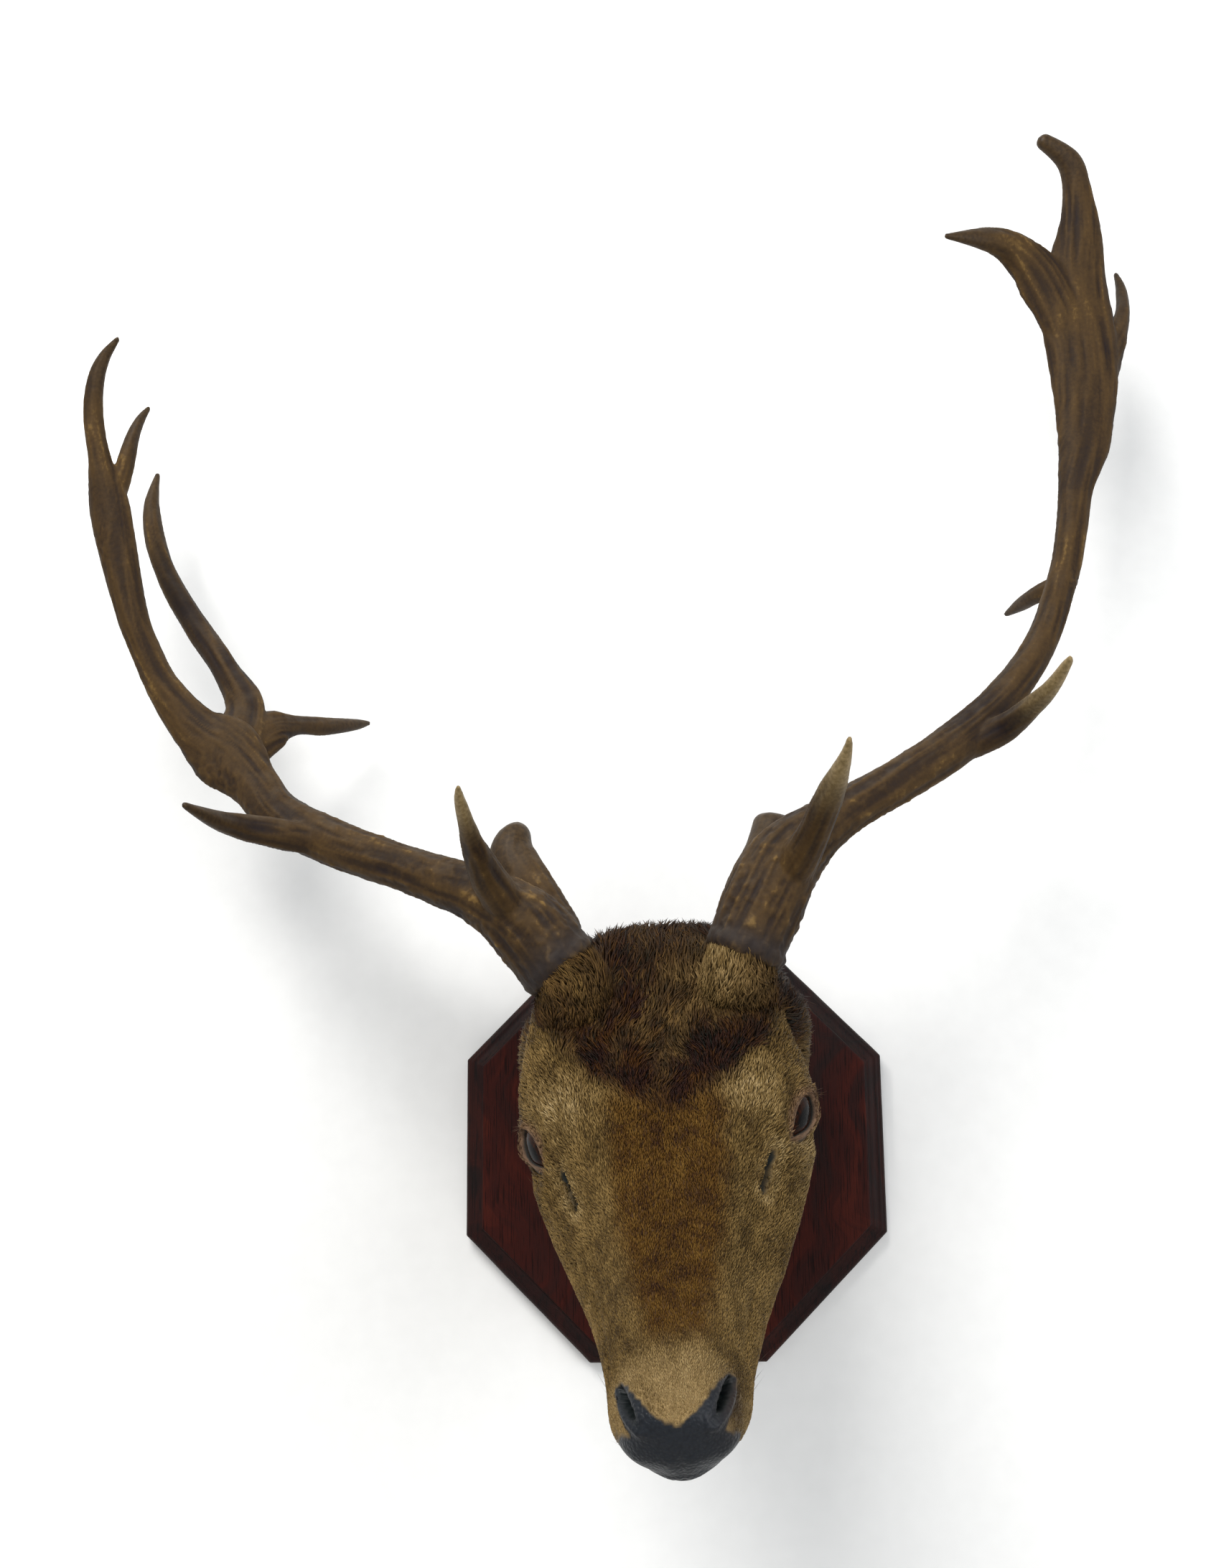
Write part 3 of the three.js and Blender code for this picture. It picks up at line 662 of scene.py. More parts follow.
eye_rows = np.flatnonzero((reach > 150) & (reach < 340))
turns = full_turn(LID_COLUMNS)
edge_a, edge_c = opening_edge(turns)
outs = np.concatenate([[-0.1], np.geomspace(0.25, LID_REACH + 0.5, LID_RINGS - 1)])
stretch = 1 + outs[:, None] / np.hypot(edge_a, edge_c)
ring_a, ring_c = edge_a * stretch, edge_c * stretch
lid_patches = []
for hand in (-1, 1):
    face = BVHTree.FromPolygons(skin_grid[eye_rows].reshape(-1, 3).tolist(),
                                sheet_faces(len(eye_rows), COLUMNS).tolist())
    a, c, height = measured_from_eye(hand, skin_grid)
    near = (height > BEHIND_EYE) & (np.hypot(a, c) < NEAR_EYE)
    out = edge_distance(a, c)
    wanted = lid_height(a, c, height) - 0.35
    wanted = np.where(out < 1.5, ball_height(a, c) - 5, wanted)
    shift = np.where(near & (out < LID_REACH), wanted - height, 0)
    skin_grid = skin_grid + shift[..., None] * eye_pose(hand)[3]
    heights = lid_height(ring_a, ring_c, face_height(hand, face, ring_a, ring_c))
    heights[0] = ball_height(edge_a, edge_c) - 0.8
    heights -= 0.5 * smooth(LID_REACH - 3, LID_REACH, outs)[:, None]
    lid_patches.append(at_eye(hand, ring_a, ring_c, heights)[:, ::hand])

glass_eye, tree, shader = finish_base("glass_eye", IOR=1.12, Specular_IOR_Level=0.5)
flat = put(tree, "CombineXYZ", {"X": mesh_mark(tree, "eye_across"), "Y": mesh_mark(tree, "eye_up")})
flat = flat.outputs[0]
from_slot, from_middle = (
    put(tree, "VectorMath", {0: place}, operation="LENGTH").outputs["Value"]
    for place in (scaled(tree, flat, 0.62, 1.05, 1.0), flat))
rays = noise(tree, scaled(tree, flat, 3.0, 3.0, 1.0), 3.2, 6.0)
iris = ramp(tree, rays, (0.3, srgb(20, 9, 6)), (0.55, srgb(42, 20, 11)), (0.8, srgb(64, 33, 18)))
colour = blend(tree, moved(tree, from_slot, (0.24, 0.33)), srgb(5, 4, 5), iris)
colour = blend(tree, moved(tree, from_middle, (0.62, 0.82)), colour, srgb(16, 10, 8))
dress(tree, shader, colour, moved(tree, noise(tree, flat, 4.0, 3.0), end=(0.05, 0.14)))

BALL_ROWS, BALL_COLUMNS = 40, 64
for hand, node in ((-1, "eye_left"), (1, "eye_right")):
    tilt = np.linspace(0.02, math.pi * 0.86, BALL_ROWS)[:, None]
    turn = full_turn(BALL_COLUMNS)
    a, c = np.sin(tilt) * np.cos(turn), np.sin(tilt) * np.sin(turn)
    out = np.cos(tilt) * np.ones_like(turn)
    ball = at_eye(hand, a * EYE_HALF[0], c * EYE_HALF[1], EYE_FORE + out * EYE_HALF[2])
    faces = [f[:, ::hand] for f in closed_faces(BALL_ROWS, BALL_COLUMNS)]
    places = np.concatenate([ball.reshape(-1, 3), [ball[0].mean(0), ball[-1].mean(0)]])
    marks = {"eye_across": [*a.ravel(), 0, 0], "eye_up": [*c.ravel(), 0, 0]}
    make_piece(f"glass_{node}", places * MM, faces, glass_eye, [node], marks=marks)

# ------------------------------------------------------------------ the hide
# One tanned skin over nose, face, ears and neck, brushed with oils at the nose and the lids.
# Every sheet of it is a grid of places: the long sleeve, two lids, two horn stems, two ears.

# the arm of the bare pad that runs round each nostril, as stops of side, back and rise
NOSE_ARM = [(30, 33, -10), (22, 15, -8.5), (13, 5, -11), (0, 0, -15)]


def head_marks(side, back, rise, reach):
    """Shares from 0 to 1 of each colour that the deer wears, by place on the head."""
    wide = np.abs(side)
    here = np.stack([side, back, rise], -1)
    blotch = value_noise(here, 13, 5) * 5 + value_noise(here, 5, 6) * 3
    left_stem = hill(side, back, rise, (-58, 292, 78), (20, 20, 28))
    right_stem = hill(side, back, rise, (50, 290, 76), (26, 22, 30))

    # the dark crown starts at a curved front edge and is streaked from front to back
    edge = 205 + 0.0128 * side**2 - 6 * np.tanh(side / 30) + blotch
    streaks = value_noise(here * [1, 0.3, 1], 7, 14)
    crown = np.clip(0.68 + 0.4 * bell(back - edge - 20, 20) + 0.34 * streaks, 0, 1)
    crown = np.maximum(smooth(-8, 8, back - edge) * crown,
                       0.9 * smooth(322, 345, back + 0.25 * side))
    crown = crown + 0.4 * hill(side, back, rise, (-20, 290, 62), (9, 34, 30))
    crown = np.clip(crown, 0, 1) * smooth(6, 26, rise) * (1 - smooth(335, 375, reach))
    crown = crown * (1 - np.clip(0.7 * left_stem + right_stem, 0, 1))

    # the rusty bridge of the nose, and the pale hair round the mouth
    half = np.interp(back, (40, 130, 205), (14, 31, 36))
    bridge = 1 - smooth(-7, 7, np.abs(side - 3) - half + blotch * 0.5)
    bridge = bridge * within(back, 34, 58, 205, 232) * smooth(-22, -4, rise)
    tan = 1 - smooth(26, 50, back + blotch)
    chin = smooth(-40, -48, rise - MOUTH_RISE[1] * back) * (1 - smooth(70, 130, back))

    # the bare pad: an apron below, with an arm round each nostril
    arm, along = way_to_line(wide, back, rise, NOSE_ARM)
    arm = arm - 2.6 - 5.4 * np.sin(np.clip(along, 0, 1) * math.pi * 0.62)
    nostril, down = nostril_rim(side, back, rise)
    apron = (np.hypot((side + 1) / 32, (rise + 30) / 20.5) - 1) * 18
    bare = np.minimum(np.minimum(arm, nostril - 1.4 - 6.5 * down), np.maximum(apron, back - 19))
    bare = bare + value_noise(here, 3, 7) * 0.9
    pad = (1 - smooth(-0.8, 0.8, bare)) * (1 - smooth(34, 39, back))
    drop = rise - mouth_height(back)
    under_lip = within(drop, -9, -3, 0, 2) * (1 - smooth(14, 30, back))
    wing = hill(side, back, rise, (29, 22, -15), (9, 16, 13))

    # near-black: dark skin and painted shade in the tear slits, painted shade in the nostril openings and
    # in the line between the lips
    slit, _ = way_to_line(wide, back, rise, TEAR_SLIT)
    lips = bell(drop, 1.6) * (1 - smooth(MOUTH_REACH - 14, MOUTH_REACH, back))
    dark = np.maximum(1 - smooth(2.0, 3.6, slit), 1 - smooth(-0.4, 1.6, nostril))

    # pale speckled hair on the brows, round the slits and under the eyes
    brow = np.maximum(hill(side, back, rise, (56, 216, 37), (15, 20, 16)),
                      hill(side, back, rise, (-63, 217, 32), (15, 20, 16)))
    under_eye = hill(side, back, rise, (76, 214, -14), (16, 26, 16))
    brow = np.maximum(brow, np.maximum(0.8 * bell(slit - 6.5, 4), 0.9 * under_eye))
    return {
        "crown": crown, "brow": np.clip(brow + 0.75 * right_stem, 0, 1), "bridge": bridge,
        "wing": np.clip(wing, 0, 1), "tan": np.clip(tan + chin, 0, 1),
        "pad": np.maximum(pad, 0.9 * under_lip), "dark": np.maximum(dark, lips),
        "neck": smooth(262, 330, reach),
        "trim": np.clip(np.minimum(slit / 8, (nostril + 2) / 9), 0.2, 1),
    }


def upright_again(places, share):
    """The reverse of turned."""
    x, y, z = np.moveaxis(places - NOSE_TIP, -1, 0)
    x, z = spun(x, z, HEAD_ROLL * share)
    y, x = spun(y, x, HEAD_YAW * share)
    return np.stack([x, y, z], -1) + NOSE_TIP * [0, 1, 1]


def sheet(grid, reach, turn_share, area, rim=0, density=1.0, margin=0, lie=None, plain=None):
    """All that is known at each place of one sheet of skin; area is its part of the map."""
    outward = grid_normals(grid)
    plain = upright_again(grid, turn_share) if plain is None else plain
    side, back, rise = head_places(plain)
    reach, rim, density = (np.broadcast_to(a, side.shape) for a in (reach, rim, density))
    marks = head_marks(side, back, rise, reach)
    marks |= {"rim": rim, "side": side, "rise": rise, "along": back}
    marks["dark"] = np.maximum(marks["dark"], margin)
    return {"grid": grid, "outward": outward, "reach": reach, "marks": marks, "area": area,
            "density": density, "lie": lie}


def facing_out(grid, outward):
    """The grid, turned about if its faces look inward."""
    away = np.cross(np.gradient(grid, axis=1), np.gradient(grid, axis=0))
    return grid[:, ::-1] if (away * outward).sum() < 0 else grid


rim_here = np.zeros(skin_grid.shape[:2])
hair_here = np.ones(skin_grid.shape[:2])
for hand in (-1, 1):
    a, c, height = measured_from_eye(hand, skin_grid)
    out = edge_distance(a, c)
    near = (height > BEHIND_EYE) & (out < LID_REACH + 30)
    rim_here = np.where(near, bell(out, 6), rim_here)
    hair_here = np.where(near & (out < LID_REACH - 2), 0, hair_here)

# each sheet's part of the map: from side to side, and the foot and height of the small ones
SLEEVE_AREA = (0.01, 0.012, 0.80, 0.99)
SMALL_SIDES = (0.82, 0.99)
LID_AREAS, STEM_AREAS, EAR_AREAS = (
    [(SMALL_SIDES[0], foot, SMALL_SIDES[1], foot + high) for foot in feet]
    for high, feet in ((0.23, (0.01, 0.26)), (0.10, (0.51, 0.63)), (0.11, (0.75, 0.87))))
sheets = [sheet(skin_grid, reach[:, None], turn_share, SLEEVE_AREA, rim=rim_here,
                density=hair_here, plain=even_form)]

# the lids: a bare margin, and a fleshy corner towards the nose
away = outs[:, None]
for hand, lid, area in zip((-1, 1), lid_patches, LID_AREAS):
    fleshy = bell(np.angle(np.exp(1j * (turns[::hand] + 0.95))), 0.75)
    hairy = within(away, 1.2, 2.6, LID_REACH - 1, LID_REACH)
    hairy = hairy * (1 - fleshy * (1 - smooth(6.0, 8.0, away)))
    rim = np.maximum(bell(away, 6), 0.9 * fleshy * (1 - smooth(5.5, 8.0, away)))
    margin = np.maximum(bell(away, 1.0), 0.9 * fleshy * bell(away - 6.4, 0.9))
    sheets.append(sheet(lid, EYE_BACK - 5.0, 1.0, area, rim=rim, density=hairy, margin=margin))


def circle_of(count, first, second):
    """Directions all round, from the first one towards the second."""
    turn = full_turn(count)[:, None]
    return np.cos(turn) * first[..., None, :] + np.sin(turn) * second[..., None, :]


# the horn stems, flaring into the skull under the burrs
ANTLER_FOOT = {-1: ([-71, -203, 110], [-91, -203, 134]), 1: ([47, -208, 118], [57, -209, 147])}
BURR_HALF = 6.5
STEM_ROWS, STEM_COLUMNS = 26, 72
for hand, area in zip((-1, 1), STEM_AREAS):
    foot, above = (np.array(p, float) for p in ANTLER_FOOT[hand])
    axis = unit(above - foot)
    stops = np.array([
        [*(foot - axis * (BURR_HALF - 2)), 19.5], [*(foot - axis * (BURR_HALF + 5)), 20.5],
        [*in_head(hand * 50, 298, 49), 25], [*in_head(hand * 45, 292, 30), 31],
        [*in_head(hand * 42, 290, 20), 36]])
    along = rows_at(stops, np.linspace(0, len(stops) - 1, STEM_ROWS))
    middles, radii = along[:, :3], along[:, 3]
    ahead = unit(np.gradient(middles, axis=0))
    sideways = unit(np.cross(ahead, [0, 1, 0]))
    forwards = np.cross(sideways, ahead)
    circle = circle_of(STEM_COLUMNS, sideways, forwards)
    stem = middles[:, None] + radii[:, None, None] * circle
    stem += circle * 0.8 * value_noise(stem, 9, 4)[..., None]
    stem = facing_out(stem, circle)
    sheets.append(sheet(stem, 252.0, 1.0, area, density=1.1, lie=-np.gradient(stem, axis=0)))

# across, out from the wall, up, half width, half thickness and share of the head's turn
EAR_ROWS = [
    [66, -184, 58, 15, 9, 1],
    [81, -166, 62, 20, 9, 1],
    [85, -140, 60, 25, 7, 0.8],
    [85, -105, 55, 26, 6, 0.5],
    [83, -70, 43, 21, 5, 0.3],
    [80, -46, 34, 13, 4, 0.1],
    [77, -30, 28, 3, 2, 0],
]
EAR_DRAWN_IN = 1.3
EAR_LINES, EAR_COLUMNS = 54, 56
for hand, area in zip((-1, 1), EAR_AREAS):
    rows = rows_at(EAR_ROWS, np.linspace(0, len(EAR_ROWS) - 1, EAR_LINES))
    middles = turned(rows[:, :3] * [hand, 1, 1], rows[:, 5])
    wide = np.maximum(rows[:, 3:4] - EAR_DRAWN_IN, 0.6)
    thick = np.maximum(rows[:, 4:5] - EAR_DRAWN_IN, 0.5)
    ahead = unit(np.gradient(middles, axis=0))
    deep = unit(np.array([hand, 0, 0]) - ahead * (ahead @ [hand, 0, 0])[:, None])
    broad = np.cross(ahead, deep)
    turn = full_turn(EAR_COLUMNS)
    height = np.sin(turn)
    hollow = np.where(height < 0, height * (1 - 1.4 * height**2), height)
    broad_part = (wide * np.cos(turn))[..., None] * broad[:, None]
    ear = middles[:, None] + broad_part + (thick * hollow)[..., None] * deep[:, None]
    ear = facing_out(ear, broad_part + (thick * height)[..., None] * deep[:, None])
    sheets.append(sheet(ear, 290.0, rows[:, 5:6], area, lie=np.gradient(ear, axis=0)))

stag_marks = ("crown", "brow", "bridge", "tan", "pad", "dark", "neck", "rim", "wing")


def stag_colours():
    """The deer's colours by place; tone runs each one from its dark hairs to its light ones."""
    inputs = dict.fromkeys((*stag_marks, "tone"), "Float")
    group, given, result = colour_group("stag_colours", **inputs)
    coats = (
        (None, (66, 50, 26), (106, 84, 46), (142, 116, 70)),
        ("neck", (48, 36, 20), (80, 61, 34), (112, 88, 52)),
        ("bridge", (54, 33, 9), (88, 60, 20), (114, 84, 36)),
        ("tan", (96, 76, 44), (140, 116, 74), (170, 146, 102)),
        ("brow", (84, 64, 34), (138, 114, 70), (184, 160, 116)),
        ("crown", (20, 9, 2), (42, 22, 5), (72, 44, 14)),
        ("rim", (84, 62, 46), (122, 94, 72), (154, 124, 98)),
    )
    for name, *shades in coats:
        stops = zip((0.1, 0.5, 0.9), (srgb(*shade) for shade in shades))
        own = ramp(group, given["tone"], *stops)
        colour = blend(group, given[name], colour, own) if name else own
    colour = blend(group, given["pad"], colour, srgb(23, 27, 33))
    colour = blend(group, maths(group, "MULTIPLY", given["wing"], 0.9), colour, srgb(36, 23, 16))
    # near-black: dark skin of the slits and lid margins, and painted shade in the nostrils and the mouth
    # line
    colour = blend(group, given["dark"], colour, srgb(14, 10, 9))
    group.links.new(colour, result)
    return group


STAG_COLOURS = stag_colours()


def worn_colours(tree, tone):
    """The stag's colours for one material, read from the marks on its mesh."""
    given = {name: mesh_mark(tree, name) for name in stag_marks}
    return put(tree, "Group", {**given, "tone": tone}, node_tree=STAG_COLOURS).outputs["Color"]


hide, tree, shader = finish_base("hide", IOR=1.45, Specular_IOR_Level=0.3)
around_head = put(tree, "CombineXYZ", {
    axis: mesh_mark(tree, name) for axis, name in (("X", "side"), ("Y", "rise"), ("Z", "along"))})
around_head = around_head.outputs[0]
fine_hair = noise(tree, scaled(tree, around_head, 2.4, 2.4, 0.34), 1.0, 4.0)
clumps = noise(tree, scaled(tree, around_head, 0.3, 0.3, 0.11), 1.0, 3.0)
tone = maths(tree, "MULTIPLY", maths(tree, "MULTIPLY_ADD", fine_hair, 1.0, -0.14), clumps)
colour = worn_colours(tree, maths(tree, "MULTIPLY", tone, 2.0))
pad_share = mesh_mark(tree, "pad")
cobbles = put(tree, "TexVoronoi", {"Vector": around_head, "Scale": 0.62}, feature="SMOOTH_F1")
cobbles = cobbles.outputs["Distance"]
# painted shade: the bare pad is darkened in the grooves between its cobbles
pad_groove_shade = ramp(tree, cobbles, (0.35, (1, 1, 1, 1)), (0.8, (0.55, 0.55, 0.6, 1)))
colour = blend(tree, pad_share, colour, blend(tree, 1.0, colour, pad_groove_shade, "MULTIPLY"))
wet = moved(tree, noise(tree, around_head, 0.35, 4.0), end=(0.28, 0.6))
dull = moved(tree, fine_hair, end=(0.62, 0.85))
cobble_height = maths(tree, "MULTIPLY", cobbles, -1.6)
rough, height = (
    put(tree, "Mix", {0: pad_share, 2: on_hair, 3: on_pad}).outputs[0]
    for on_hair, on_pad in ((dull, wet), (fine_hair, cobble_height)))
dress(tree, shader, colour, rough, height, 0.5, 0.0006)


def on_map(area, u, v):
    """Shares u across and v along one sheet, as places on the whole map."""
    low_u, low_v, high_u, high_v = area
    return np.stack([low_u + (high_u - low_u) * u, low_v + (high_v - low_v) * v], -1)


places, faces, maps, marks, first = [], [], [], {}, 0
for part in sheets:
    count_rows, count_columns = part["grid"].shape[:2]
    i, j = np.indices((count_rows - 1, count_columns))
    u = np.stack([j, j + 1, j + 1, j], -1) / count_columns
    v = np.stack([i, i, i + 1, i + 1], -1) / (count_rows - 1)
    places.append(part["grid"].reshape(-1, 3))
    faces.append(sheet_faces(count_rows, count_columns) + first)
    maps.append(on_map(part["area"], u, v).reshape(-1, 2))
    for name, values in part["marks"].items():
        marks.setdefault(name, []).append(np.asarray(values).ravel())
    first += count_rows * count_columns

# the tip of the nose closes the sleeve
j = np.arange(COLUMNS)
cap_u = np.stack([j + 1, j, j + 0.5], -1) / COLUMNS
cap_v = np.broadcast_to([0, 0, -0.006 / (SLEEVE_AREA[3] - SLEEVE_AREA[1])], (COLUMNS, 3))
faces.append(np.stack([(j + 1) % COLUMNS, j, np.full(COLUMNS, first)], -1))
maps.append(on_map(SLEEVE_AREA, cap_u, cap_v).reshape(-1, 2))
places.append(skin_grid[0].mean(0, keepdims=True))
marks = {name: np.concatenate([*values, values[0][:1]]) for name, values in marks.items()}
make_piece("hide", np.concatenate(places) * MM, faces, hide,
           ["nose", "muzzle", "lower_jaw", "head", "neck", "ear_left", "ear_right"],
           maps=np.concatenate(maps), marks=marks)

# ------------------------------------------------------------------ the coat
# Summer hair: short and flat on the face, longer on the forehead and neck. It is laid in
# small locks that overlap from the nose backwards and part round the eyes.

# along head and neck: the locks' length and width, and how many grow on a square millimetre
LOCK_LENGTH = ([0, 15, 40, 120, 200, 240, 276, 310, 350, 436],
               [1.8, 2.4, 3.4, 4.6, 6.0, 7.5, 11, 15, 17, 17])
LOCK_WIDTH = ([0, 40, 120, 240, 276, 310, 436], [0.42, 0.6, 0.75, 0.9, 1.15, 1.35, 1.5])
LOCKS_PER_MM2 = ([0, 40, 120, 200, 240, 276, 310, 436], [1.3, 1.15, 0.85, 0.72, 0.62, 0.5, 0.44, 0.38])
THINNING = 0.93
WALL_CLEAR = -(BOARD_THICK + 0.6)
ROOT_DEPTH = 0.35
LOCK_PLACES = 7
rng = np.random.default_rng(12)


def flat_on(direction, outward):
    """The part of a direction that lies along the skin, at unit length."""
    return unit(direction - outward * (direction * outward).sum(-1, keepdims=True) + 1e-9)


def lie_of_hair(part):
    """Which way the hair lies at each place of a sheet."""
    animal_back = in_head(0, 1, 0) - in_head(0, 0, 0)
    to_wall = smooth(290, 400, part["reach"])[..., None]
    lie = unit(animal_back * (1 - to_wall) + np.array([0, 0.9, -0.55]) * to_wall)
    for hand in (-1, 1):
        _, level, over, _ = eye_pose(hand)
        a, c, height = measured_from_eye(hand, part["grid"])
        far = np.maximum(a**2 + c**2, 120)
        bend = 190 / far
        forward = -(1 + bend - 2 * a**2 * bend / far)
        upward = 2 * a * c * bend / far
        flow = forward[..., None] * level + upward[..., None] * over
        close = (height > BEHIND_EYE) * np.exp(-(far / 2400)**1.5)
        lie = lie * (1 - close[..., None]) + unit(flow) * close[..., None]
    return flat_on(lie, part["outward"])


def scattered(part):
    """Roots of locks over one sheet, with all that the sheet knows at each."""
    grid, marks = part["grid"], part["marks"]
    known = np.concatenate([grid, part["outward"], part["lie"], part["reach"][..., None],
                            np.stack(list(marks.values()), -1)], -1)
    beside = np.roll(known, -1, 1)
    across, down = beside[:-1, :, :3] - grid[:-1], grid[1:] - grid[:-1]
    size = np.linalg.norm(np.cross(across, down), axis=-1)
    wanted = size * np.interp(part["reach"][:-1], *LOCKS_PER_MM2) * part["density"][:-1] * THINNING
    bare = np.maximum(marks["pad"], marks["dark"])[:-1]
    wanted = wanted * (1 - smooth(0.3, 0.65, bare)) * (1 - 0.6 * marks["wing"][:-1])
    count = np.floor(wanted + rng.random(wanted.shape)).astype(int)
    i, j = (axis.repeat(count.ravel()) for axis in (a.ravel() for a in np.indices(count.shape)))
    f, g = rng.random((2, len(i), 1))
    found = ((known[i, j] * (1 - f) + known[i + 1, j] * f) * (1 - g)
             + (beside[i, j] * (1 - f) + beside[i + 1, j] * f) * g)
    spots = on_map(part["area"], (j + g[:, 0]) / grid.shape[1], (i + f[:, 0]) / (grid.shape[0] - 1))
    return found, spots


for part in sheets:
    grows = part["lie"]
    part["lie"] = lie_of_hair(part) if grows is None else flat_on(grows, part["outward"])
sown = [scattered(part) for part in sheets]
roots = np.concatenate([found for found, _ in sown])
root_maps = np.concatenate([spot for _, spot in sown])
place, outward, lie = roots[:, :3], unit(roots[:, 3:6]), roots[:, 6:9]
root_reach = roots[:, 9]
root_marks = dict(zip(sheets[0]["marks"], roots[:, 10:].T))
count = len(roots)

crown = root_marks["crown"]
length = np.interp(root_reach, *LOCK_LENGTH) * rng.uniform(0.7, 1.25, count)
length = length * (1 + 0.3 * crown) * (1 - 0.6 * np.clip(root_marks["rim"] * 1.2, 0, 1))
length = length * root_marks["trim"]
width = np.interp(root_reach, *LOCK_WIDTH) * rng.uniform(0.75, 1.25, count)
swing = rng.normal(0, 0.16, count) + 0.2 * value_noise(place, 15, 8)
swing += crown * (1.1 * value_noise(place, 17, 9) + 0.35 * value_noise(place, 6, 10))
cross = np.cross(outward, lie)
heading = flat_on(lie * np.cos(swing)[:, None] + cross * np.sin(swing)[:, None], outward)
cross = np.cross(heading, outward)
lift = np.interp(root_reach, *COAT_DEPTH) * rng.uniform(0.55, 1.1, count) * (1 + 0.4 * crown)
lift = lift * (1 - 0.5 * root_marks["rim"])
curl = rng.normal(0, 0.09, count) + 0.1 * value_noise(place, 8, 11)
lock_tone = np.clip(0.52 + 0.15 * rng.normal(size=count) + 0.26 * value_noise(place, 7, 12)
                    + 0.16 * value_noise(place, 22, 13), 0, 1)

# lashes on the upper lids, and stiff whiskers on the lips, the chin and under the eyes
rise, back = root_marks["rise"], root_marks["along"]
drop = rise - mouth_height(back)
lashes = (root_marks["rim"] > 0.8) & (rise > 6)
by_lips = (np.abs(drop - 2) < 13) & (back > 16) & (back < 78)
under_eyes = (np.abs(drop - 48) < 7) & (np.abs(back - 226) < 14)
whiskers = by_lips & (rng.random(count) < 0.007) | under_eyes & (rng.random(count) < 0.008)
middle_lift, tip_lift = np.full(count, 0.72), np.full(count, 0.8)
for bristles, longest, rise_share in ((lashes, 9.0, 0.7), (whiskers, 24.0, 0.3)):
    length[bristles] = longest * rng.uniform(0.6, 1.0, bristles.sum())
    width[bristles] = 0.28
    lift[bristles] = length[bristles] * rise_share
    curl[bristles] *= 0.5
    middle_lift[bristles], tip_lift[bristles] = 0.42, 1.0
    lock_tone[bristles] = 0.05


def locks(pick):
    """Places of closed three-sided locks with a ridge on top, seven for each."""
    p, n, h, s = place[pick], outward[pick], heading[pick], cross[pick]
    l, w, c = (values[pick][:, None] for values in (length, width, curl))
    up, tip_up = (lift[pick][:, None] * values[pick][:, None] for values in (middle_lift, tip_lift))
    base = p - n * ROOT_DEPTH
    belly = p + h * l * 0.48 + n * up + s * c * l * 0.35
    tip = p + h * l + n * tip_up + s * c * l * 1.3
    thick = w * 0.42
    rows = [base - s * w * 0.3, base + n * thick * 0.8, base + s * w * 0.3,
            belly - s * w * 0.5, belly + n * thick, belly + s * w * 0.5, tip]
    made = np.stack(rows, 1)
    made[..., 1] = np.minimum(made[..., 1], WALL_CLEAR - rng.random(len(p))[:, None])
    return made


LOCK_FACES = np.array([[0, 1, 2], [0, 3, 4], [0, 4, 1], [1, 4, 5], [1, 5, 2], [2, 5, 3], [2, 3, 0],
                       [3, 6, 4], [4, 6, 5], [5, 6, 3]])
LOCK_MAP = np.array([[-1, -0.7], [0, -1], [1, -0.7], [-0.9, 0.2], [0.1, 0.1], [0.9, 0.25], [0, 1]]) * 0.0015
LOCK_SHARE = np.array([0, 0, 0, 0.5, 0.5, 0.5, 1])

coat, tree, shader = finish_base("summer_coat", IOR=1.45, Specular_IOR_Level=0.1)
tone = mesh_mark(tree, "tone")
banding = ramp(tree, mesh_mark(tree, "hair"),
               (0.0, (0.62, 0.59, 0.56, 1)), (0.55, (0.92, 0.92, 0.92, 1)),
               (0.8, (1.12, 1.1, 1.06, 1)), (1.0, (0.95, 0.92, 0.88, 1)))
colour = blend(tree, 1.0, worn_colours(tree, tone), banding, "MULTIPLY")
strand = noise(tree, put(tree, "TexCoord").outputs["Object"], 2600.0, 1.0)
dress(tree, shader, colour, moved(tree, tone, end=(0.48, 0.68)), strand, 0.3, 0.0002)

COAT_PIECES = 7
for number in range(COAT_PIECES):
    pick = np.arange(number, count, COAT_PIECES)
    faces = (np.arange(len(pick))[:, None, None] * LOCK_PLACES + LOCK_FACES).reshape(-1, 3)
    spots = (root_maps[pick][:, None] + LOCK_MAP).reshape(-1, 2)
    marks = {name: root_marks[name][pick].repeat(LOCK_PLACES) for name in stag_marks}
    marks["tone"] = lock_tone[pick].repeat(LOCK_PLACES)
    marks["hair"] = np.tile(LOCK_SHARE, len(pick))
    make_piece(f"coat_{number + 1}", locks(pick).reshape(-1, 3) * MM, [faces], coat, [],
               maps=spots[faces.ravel()], marks=marks)

# ------------------------------------------------------------------ the antlers
# Solid bone, grown in one piece from burr to tips: beaded and furrowed below, smoother and
# flattened in the palms, rubbed pale and polished at some of the tips.

SIDEWAYS, TO_WALL = np.array([1, 0, 0]), np.array([0, 1, 0])
# places along each limb: across, out from the wall, up, half width and half thickness
LEFT_RUN = [
    [-71, -203, 110, 25, 24], [-91, -203, 134, 25, 22], [-121, -197, 155, 18.5, 17],
    [-170, -182, 175.5, 15, 13.5], [-226, -160, 199, 15.6, 12], [-264.5, -145, 221, 15.8, 11],
    [-284, -134, 244, 17, 10], [-306, -128, 268, 25.5, 9.5], [-330, -126, 288, 17, 10],
    [-352.5, -128, 317, 11.5, 10], [-366, -132, 345, 10.5, 10], [-375, -137, 371, 11.2, 9.5],
    [-385.5, -146, 421, 13.8, 8.5], [-390.5, -150, 448, 13.6, 8], [-396.5, -155, 476, 7.8, 7],
    [-401, -160, 507, 6.6, 6.2], [-399, -165, 530, 6, 5.5], [-392, -170, 546.5, 4.4, 4],
    [-380, -176, 558.5, 1.8, 1.8],
]
